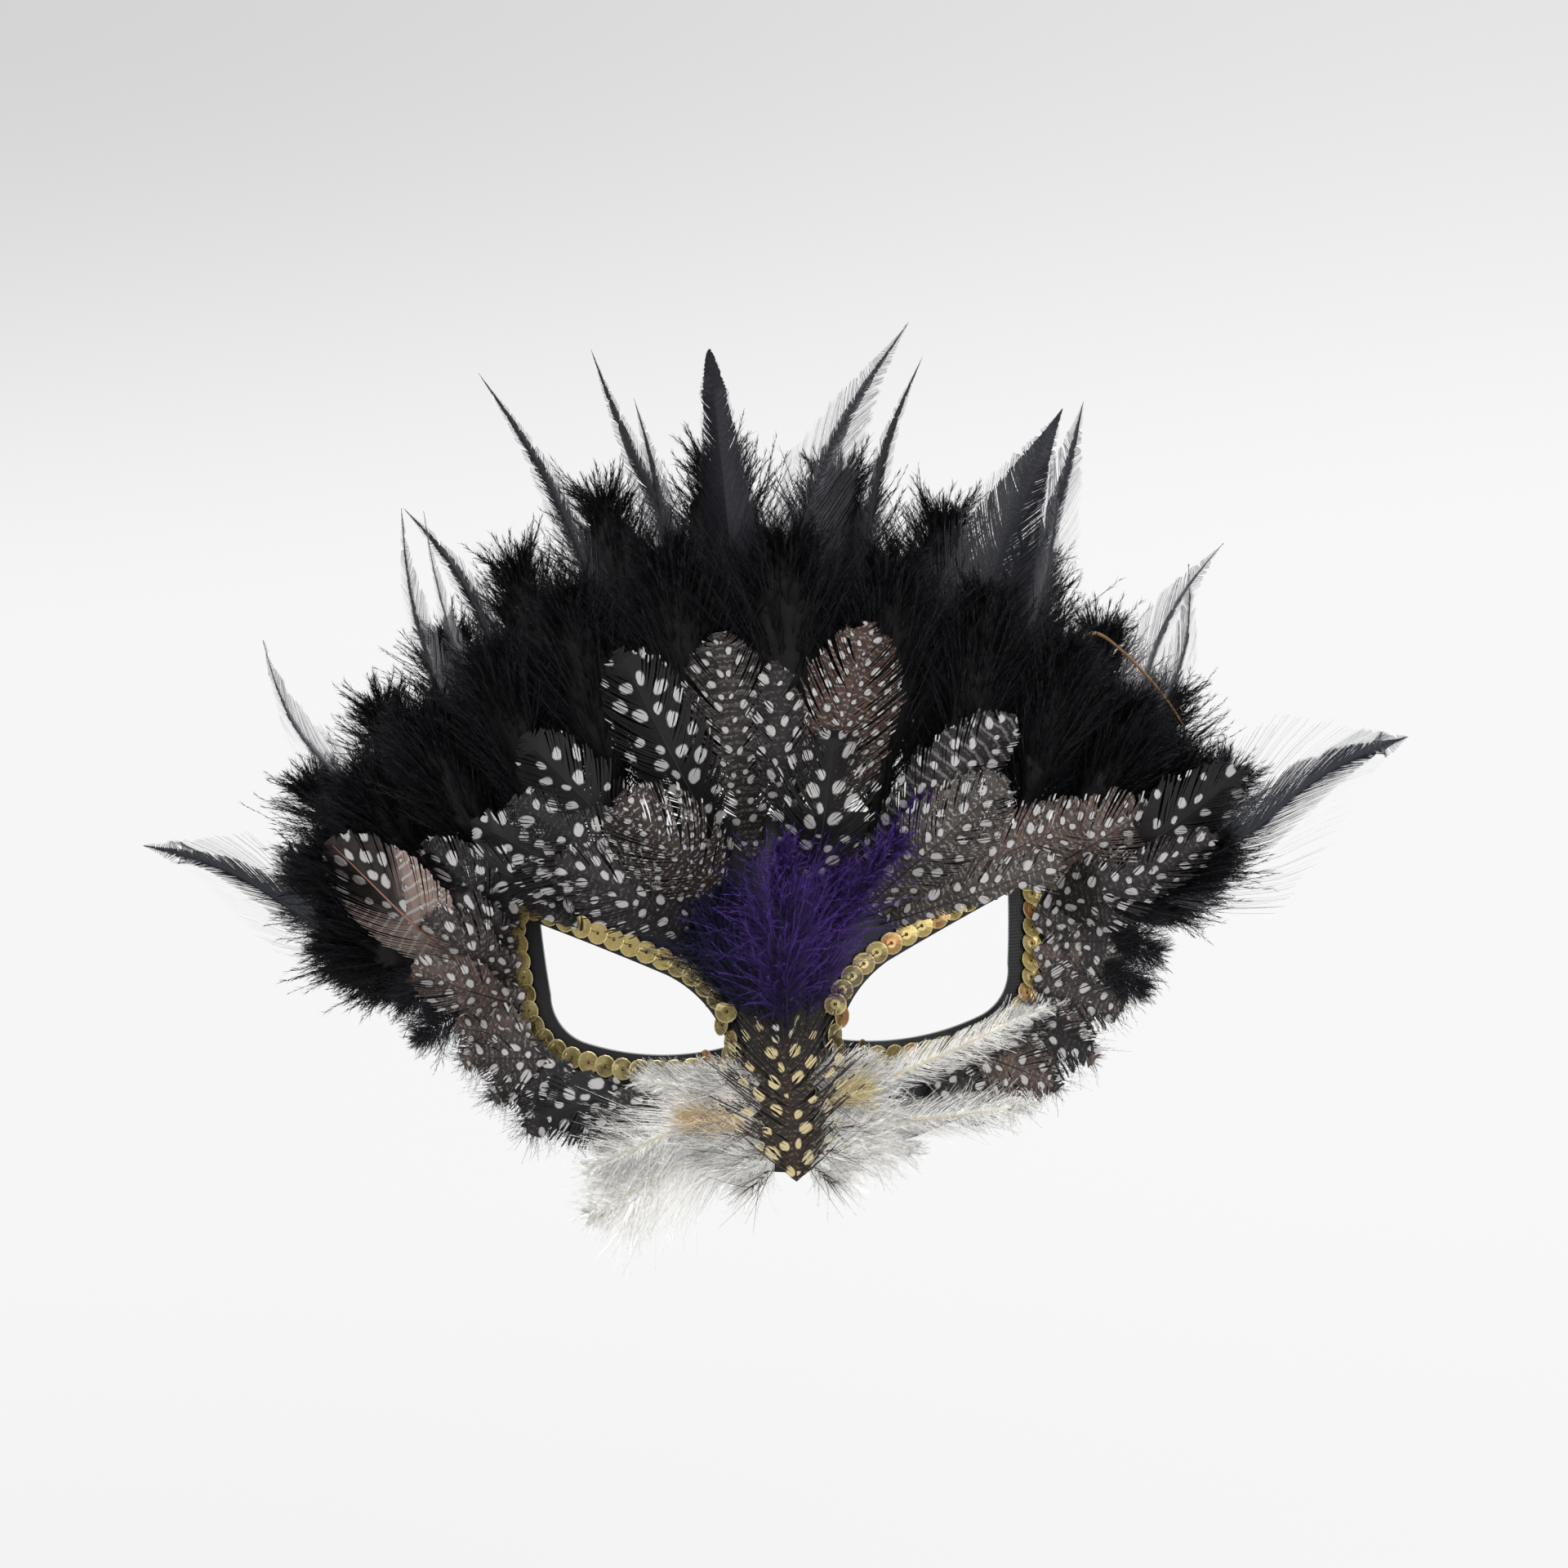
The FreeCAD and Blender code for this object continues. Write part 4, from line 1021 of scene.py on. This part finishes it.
class MASQUERADE_OT_coverts(Piece):
    """Short spotted feathers and grey down laid round the outer side of each eye"""
    bl_idname = "masquerade.coverts"
    bl_label = "Coverts"

    # direction from the middle of the eye in degrees, width, length and look
    ROUND_EYE = {
        "left": ((128, 11, 17, "oval"), (146, 12, 17, "dense"), (163, 13, 19, "pale"),
                 (178, 12, 19, "fringe"), (194, 13, 20, "pale"), (209, 12, 19, "fringe"),
                 (224, 13, 20, "dense"), (238, 12, 17, "oval"), (252, 11, 14, "dense"),
                 (266, 10, 12, "fringe")),
        "right": ((56, 11, 14, "dense"), (36, 12, 17, "pale"), (19, 13, 21, "fringe"), (4, 13, 23, "pale"),
                  (-11, 13, 23, "fringe"), (-26, 12, 22, "pale"), (-40, 13, 20, "dense"),
                  (-54, 12, 18, "pale"), (-68, 11, 15, "fringe"), (-82, 10, 12, "dense")),
    }

    # root and tip of each tuft of black down that covers the edge at a temple, and its width
    TEMPLE_DOWN = ((76, 12, 90, 10, 12), (74, 5, 89, -1, 13), (72, -2, 85, -9, 12))

    def build(self, sizes, colours):
        finish = guinea_material(colours)
        soft = fibre_material("dyed_down")
        rng = np.random.default_rng(81)
        for (name, rows), (middle, rim) in zip(self.ROUND_EYE.items(), EYE_RIMS):
            vanes, fluff = Heap(), Heap()
            lean = -14 if name == "right" else 14
            for degrees, width, length, look in rows:
                way = np.array([np.cos(radians(degrees)), np.sin(radians(degrees))])
                turned = np.array([np.cos(radians(degrees + lean)), np.sin(radians(degrees + lean))])
                root = middle + way * (rim[direction(way)] + 5.0)
                tip = root + turned * length
                ground, marks = guinea_look(look)
                quill = laid_quill(root, tip, width, 0.8, 1.6, wide=1.1, fill=0.7)
                vane(vanes, quill, rng, ground, ground, marks, per_mm=2.5, start=0.0, fray=0.12,
                     split=0.3, taper=0.6, bunch_size=5, cover=1.5, curl=0.3, clear=5.6)
                quill = laid_quill(root + turned * 6, tip, width, 0.2, 0.4, wide=1.0, fill=0.7)
                down(fluff, quill, rng, rgb(34, 32, 34), rgb(74, 71, 75),
                     barbs=140 if lean > 0 else 80, start=0.2, barbules=14, fluff=1.5,
                     slant=0.9, swirl=0.25, roundness=0.4, barb_width=0.12, barbule_width=0.08, clear=6.0)
            side = -1 if name == "left" else 1
            for x, z, end_x, end_z, width in self.TEMPLE_DOWN:
                quill = laid_quill((side * x, z), (side * end_x, end_z), width, 1.0, 1.5, fill=0.8)
                down(fluff, quill, rng, rgb(16, 16, 20), rgb(42, 42, 50), barbs=220, start=0.0, barbules=24,
                     fluff=2.4, slant=1.2, swirl=0.2, roundness=0.8, barb_width=0.2, barbule_width=0.14)
            vanes.piece("coverts_" + name, finish, [], "guinea_feather")
            fluff.piece("covert_down_" + name, soft, [], "guinea_feather")


class MASQUERADE_OT_beak(Piece):
    """The brown spotted feather that covers the nose"""
    bl_idname = "masquerade.beak"
    bl_label = "Nose feather"

    def build(self, sizes, colours):
        finish = spotted_material("beak_vane", tuple(colours.beak_dot), 0.45, rgb(40, 28, 24))
        rng = np.random.default_rng(51)
        heap = Heap()
        black = rgb(20, 17, 19)[:3] + (0.0,)
        for quill in quills("beak_feather", wide=1.35, fill=0.6):
            shaft(heap, quill, 0.2, rgb(62, 47, 38), reach=0.95, front=0.2)
            vane(heap, quill, rng, tuple(colours.beak), tuple(colours.beak), (0.145, 0.46, 0.25, 0.0),
                 per_mm=2.6, start=0.0, slant=1.0, fray=0.22, split=0.7, bunch_size=5, taper=0.55, cover=1.45,
                 tip=(0.72, black, (0.13, 0.5, 0.0, 0.0)))
        for side in (-1, 1):
            for z, reach, fall in ((-20, 13, 0), (-26, 16, 2), (-31, 15, 3), (-36, 13, 4), (-40, 9, 5)):
                quill = laid_quill((side * 3, z), (side * reach, z - fall), 6, 1.5, 2.6, wide=1.0)
                down(heap, quill, rng, rgb(58, 42, 37), rgb(74, 54, 48), barbs=18, start=0.1, barbules=12,
                     fluff=0.9, slant=2.6, swirl=0.5, roundness=0.5, barb_width=0.2, barbule_width=0.1)
        heap.piece("nose_feather", finish, ["beak_feather"], "brown_dotted_feather")


class MASQUERADE_OT_dyed_plumes(Piece):
    """Purple and navy plumes between the brows"""
    bl_idname = "masquerade.dyed_plumes"
    bl_label = "Dyed plumes"

    def build(self, sizes, colours):
        soft = fibre_material("dyed_down")
        rng = np.random.default_rng(61)
        purple, edge, navy = (tuple(c) for c in (colours.purple, colours.purple_painted_highlight, colours.navy))
        # edge, the paler purple that down() mixes in towards each barb's end, is a painted highlight on the
        # centre, right and strand plumes
        rows = (("purple_plume_centre", purple, edge, 130), ("purple_plume_right", purple, edge, 100),
                ("purple_plume_left", rgb(23, 21, 46), rgb(42, 38, 82), 110),
                ("purple_strand", purple, edge, 60), ("navy_plume", navy, rgb(38, 38, 64), 100))
        for name, dye, tip, barbs in rows:
            heap = Heap()
            for quill in quills(name, wide=1.5 if name == "navy_plume" else 1.15):
                shaft(heap, quill, 0.3, dye)
                down(heap, quill, rng, dye, tip, barbs=4 * barbs, barbules=36, fluff=2.0, slant=0.7,
                     swirl=0.36, fray=0.25, roundness=0.9, barb_width=0.16, barbule_width=0.13, overlap=0.5)
            slot = "navy_plume" if name == "navy_plume" else "purple_plume"
            heap.piece(name.replace("plume", "down").replace("strand", "wisp"), soft, [name], slot)


class MASQUERADE_OT_white_wisps(Piece):
    """White and cream wisps beside the nose"""
    bl_idname = "masquerade.white_wisps"
    bl_label = "White wisps"

    # root and tip of each tuft by the nose on one side, and its width
    TUFTS = ((5, -22, 19, -20, 9), (5, -27, 23, -25, 11), (5, -32, 24, -32, 12), (5, -36, 20, -38, 11),
             (3, -38, 12, -43, 10))

    # root, tip and dye of the two tufts that are stained tan
    STAINED = (((-9, -31), (-24, -29), rgb(240, 216, 172)), ((8, -27), (18, -25), rgb(232, 218, 172)))

    def build(self, sizes, colours):
        soft = fibre_material("dyed_down")
        rng = np.random.default_rng(71)
        white, cream = tuple(colours.white), tuple(colours.cream)
        for name in ("left_low", "left_mid", "left_up", "right_long", "right_low", "right_tuft"):
            heap = Heap()
            left = name.startswith("left")
            for quill in quills("white_feather_" + name, wide=1.1 if left else 0.85, fill=0.5):
                shaft(heap, quill, 0.36, cream, reach=0.98, front=0.6)
                vane(heap, quill, rng, white, white, (0, 0, 0, 0), per_mm=4.2, start=0.02, slant=1.7,
                     bow=1.4, cover=1.2 if left else 0.9, taper=0.4, fray=0.1, split=0.8, bunch_size=10,
                     pinch=0.25, curl=0.8, steps=6)
                down(heap, quill, rng, white, white, barbs=420 if left else 200, start=0.0, barbules=26,
                     fluff=1.8, slant=1.2, swirl=0.2, roundness=0.5, barb_width=0.15, barbule_width=0.09,
                     fray=0.15, overlap=0.5)
            heap.piece("wisp_" + name, soft, ["white_feather_" + name], "white_feather")
        heap = Heap()
        for side in (-1, 1):
            for x, z, end_x, end_z, width in self.TUFTS:
                quill = laid_quill((side * x, z), (side * end_x, end_z), width, 0.6, 1.2, fill=0.8)
                down(heap, quill, rng, white, white, barbs=340, start=0.0, barbules=22, fluff=1.8, slant=1.2,
                     swirl=0.3, roundness=0.5, barb_width=0.16, barbule_width=0.1, fray=0.2, overlap=0.5)
        for root, end, dye in self.STAINED:
            quill = laid_quill(root, end, 8, 2.0, 3.6, fill=0.8)
            down(heap, quill, rng, dye, dye, barbs=160, start=0.0, barbules=18, fluff=1.4, slant=1.6,
                 swirl=0.2, roundness=0.4, barb_width=0.12, barbule_width=0.08, fray=0.2)
        heap.piece("wisp_tufts", soft, [], "white_feather")


class MASQUERADE_OT_bare_quill(Piece):
    """The bare tan quill bent over the right shoulder of the dome"""
    bl_idname = "masquerade.bare_quill"
    bl_label = "Bare quill"

    # how far it stands out of the down, its radius at the root and what it loses by its tip
    RISE, RADIUS, THINNING = 9.0, 0.62, 0.36

    def build(self, sizes, colours):
        """A tube along the smooth line through the middles of the CAD quill's rings, which stands
        out of the down by half a sine wave."""
        horn = fibre_material("bare_horn")
        points = solids("tan_quill")[0]
        middles = points[np.argsort(points[:, 0])].reshape(-1, 3, 3).mean(1)
        knots = np.concatenate([[0], np.cumsum(np.linalg.norm(np.diff(middles, axis=0), axis=1))])
        t = np.linspace(0, knots[-1], 90)
        line = through(knots, middles, t)
        line[:, 1] -= self.RISE * np.sin(pi * t / t[-1]) ** 0.7
        heap = Heap()
        tubes(heap, line, self.RADIUS - self.THINNING * (t / t[-1]) ** 1.3, tuple(colours.quill), sides=10)
        heap.piece("bent_quill", horn, ["tan_quill"], "tan_quill")


VIEW_MIDDLE = (0.0042, 0.0446)  # x and z that the camera looks at, in metres


class MASQUERADE_OT_stage(bpy.types.Operator):
    """Pale sweep, soft lamps, world and camera"""
    bl_idname = "masquerade.stage"
    bl_label = "Stage"

    def execute(self, context):
        scene = context.scene
        sizes = scene.masquerade_sizes
        self.sweep()
        self.lamps()
        self.world(scene)
        lens, sensor = 85.0, 36.0
        camera = bpy.data.cameras.new("front_view")
        camera.lens, camera.sensor_width, camera.clip_end = lens, sensor, 20.0
        away = sizes.view_width * lens / sensor
        seat = bpy.data.objects.new("front_view", camera)
        scene.collection.objects.link(seat)
        turn = Matrix.Rotation(pi / 2, 4, "X") @ Matrix.Rotation(-sizes.view_roll, 4, "Z")
        seat.matrix_world = Matrix.Translation((VIEW_MIDDLE[0], -away, VIEW_MIDDLE[1])) @ turn
        scene.camera = seat
        scene.view_settings.view_transform = "Standard"
        return {"FINISHED"}

    def sweep(self):
        """Floor and wall in one: a flat run, a quarter circle and an upright run, carried along X. The camera
        sees a painted glow on it in place of its light and shade.
        """
        floor, wall, bend = -0.75, 1.7, 0.5
        arc = np.linspace(0, pi / 2, 13)[1:-1]
        profile = np.array([(-3.0, floor), (wall - bend, floor)]
                           + [(wall - bend + bend * np.sin(a), floor + bend - bend * np.cos(a)) for a in arc]
                           + [(wall, floor + bend), (wall, 3.0)])
        x = np.linspace(-3.0, 3.0, 3)
        co = np.stack(np.broadcast_arrays(x[None, :], profile[:, :1], profile[:, 1:]), -1)
        index = np.arange(co[..., 0].size).reshape(co.shape[:-1])
        quads = np.stack([index[:-1, :-1], index[:-1, 1:], index[1:, 1:], index[1:, :-1]], -1)
        mesh = bpy.data.meshes.new("sweep")
        mesh.from_pydata(co.reshape(-1, 3).tolist(), [], quads.reshape(-1, 4).tolist())
        mesh.polygons.foreach_set("use_smooth", np.ones(len(mesh.polygons), bool))
        made, tree, shader = material("paper_sweep", Roughness=0.9)
        place = object_place(tree)
        aside, _, high = node(tree, "ShaderNodeSeparateXYZ", {0: place}).outputs
        # painted light: the glow that the camera sees is darker grey towards the top, a little darker low on
        # the floor and lighter to the right, and shows no shadow
        tone = mixed(tree, ramp(tree, high, 0.16, 0.62), rgb(246, 246, 246), rgb(212, 212, 212))
        tone = mixed(tree, times(tree, ramp(tree, high, -0.2, -0.5), 0.6), tone, rgb(240, 240, 240))
        tone = mixed(tree, ramp(tree, aside, -0.6, 0.6, 0.0, 0.35), tone, rgb(252, 252, 252))
        grain = noise(tree, place, 40.0, 3.0)
        feed(tree, shader, {"Base Color": rgb(232, 232, 232), "Normal": bump(tree, grain, 0.05, 0.001)})
        glow = node(tree, "ShaderNodeEmission", {"Color": tone, "Strength": 1.0})
        rays = node(tree, "ShaderNodeLightPath").outputs
        seen = maths(tree, "MAXIMUM", rays["Is Camera Ray"], rays["Is Transmission Ray"])
        both = node(tree, "ShaderNodeMixShader", {0: seen, 1: shader.outputs[0], 2: glow.outputs[0]})
        tree.links.new(both.outputs[0], tree.nodes["Material Output"].inputs["Surface"])
        mesh.materials.append(made)
        sheet = bpy.data.objects.new("sweep", mesh)
        bpy.context.scene.collection.objects.link(sheet)

    def lamps(self):
        """Large soft lamps, each aimed at the mask: from above in front, from each side, and behind."""
        rows = (("key", (-0.5, -1.1, 1.3), 1.2, 13.0), ("fill", (1.2, -1.1, 0.5), 1.2, 7.0),
                ("low", (0.0, -1.3, -0.5), 0.9, 3.0), ("rear", (0.3, 1.1, 1.0), 0.9, 9.0))
        for name, place, size, power in rows:
            lamp = bpy.data.lights.new(name, "AREA")
            lamp.shape, lamp.size, lamp.energy = "DISK", size, power
            seat = bpy.data.objects.new(name, lamp)
            bpy.context.scene.collection.objects.link(seat)
            aim = np.array([0.0, 0.0, 0.04]) - np.array(place)
            z = -unit(aim)
            x = unit(np.cross(np.array([0.0, 0.0, 1.0]), z))
            y = np.cross(z, x)
            turn = Matrix(np.stack([x, y, z], 1).tolist()).to_4x4()
            seat.matrix_world = Matrix.Translation(place) @ turn

    def world(self, scene):
        """A pale even surround."""
        surround = bpy.data.worlds.new("surround")
        surround.use_nodes = True
        tree = surround.node_tree
        back = tree.nodes["Background"]
        back.inputs[0].default_value = rgb(240, 240, 242)
        back.inputs[1].default_value = 0.45
        plain = node(tree, "ShaderNodeBackground", {0: rgb(240, 240, 240), 1: 1.0})
        rays = node(tree, "ShaderNodeLightPath").outputs
        both = node(tree, "ShaderNodeMixShader",
                    {0: rays["Is Camera Ray"], 1: back.outputs[0], 2: plain.outputs[0]})
        tree.links.new(both.outputs[0], tree.nodes["World Output"].inputs["Surface"])
        scene.world = surround


PIECES = (MASQUERADE_OT_base, MASQUERADE_OT_sequins, MASQUERADE_OT_marabou, MASQUERADE_OT_hackles,
          MASQUERADE_OT_guinea, MASQUERADE_OT_coverts, MASQUERADE_OT_beak, MASQUERADE_OT_dyed_plumes,
          MASQUERADE_OT_white_wisps, MASQUERADE_OT_bare_quill, MASQUERADE_OT_stage)


class MASQUERADE_PT_panel(bpy.types.Panel):
    """Lists the pieces of the mask, with its sizes and colours"""
    bl_idname = "MASQUERADE_PT_panel"
    bl_label = "Feathered half mask"
    bl_space_type = "VIEW_3D"
    bl_region_type = "UI"
    bl_category = "Mask"

    def draw(self, context):
        for piece in PIECES:
            self.layout.operator(piece.bl_idname)
        for store in (context.scene.masquerade_sizes, context.scene.masquerade_colours):
            for name in store.bl_rna.properties.keys():
                if name not in ("rna_type", "name"):
                    self.layout.prop(store, name)


CLASSES = (MasqueradeColours, MasqueradeSizes) + PIECES + (MASQUERADE_PT_panel,)


def register():
    for each in CLASSES:
        bpy.utils.register_class(each)
    bpy.types.Scene.masquerade_sizes = PointerProperty(type=MasqueradeSizes)
    bpy.types.Scene.masquerade_colours = PointerProperty(type=MasqueradeColours)


def unregister():
    del bpy.types.Scene.masquerade_colours
    del bpy.types.Scene.masquerade_sizes
    for each in reversed(CLASSES):
        bpy.utils.unregister_class(each)


def main():
    register()
    for piece in PIECES:
        family, name = piece.bl_idname.split(".")
        getattr(getattr(bpy.ops, family), name)()


if __name__ == "__main__":
    main()
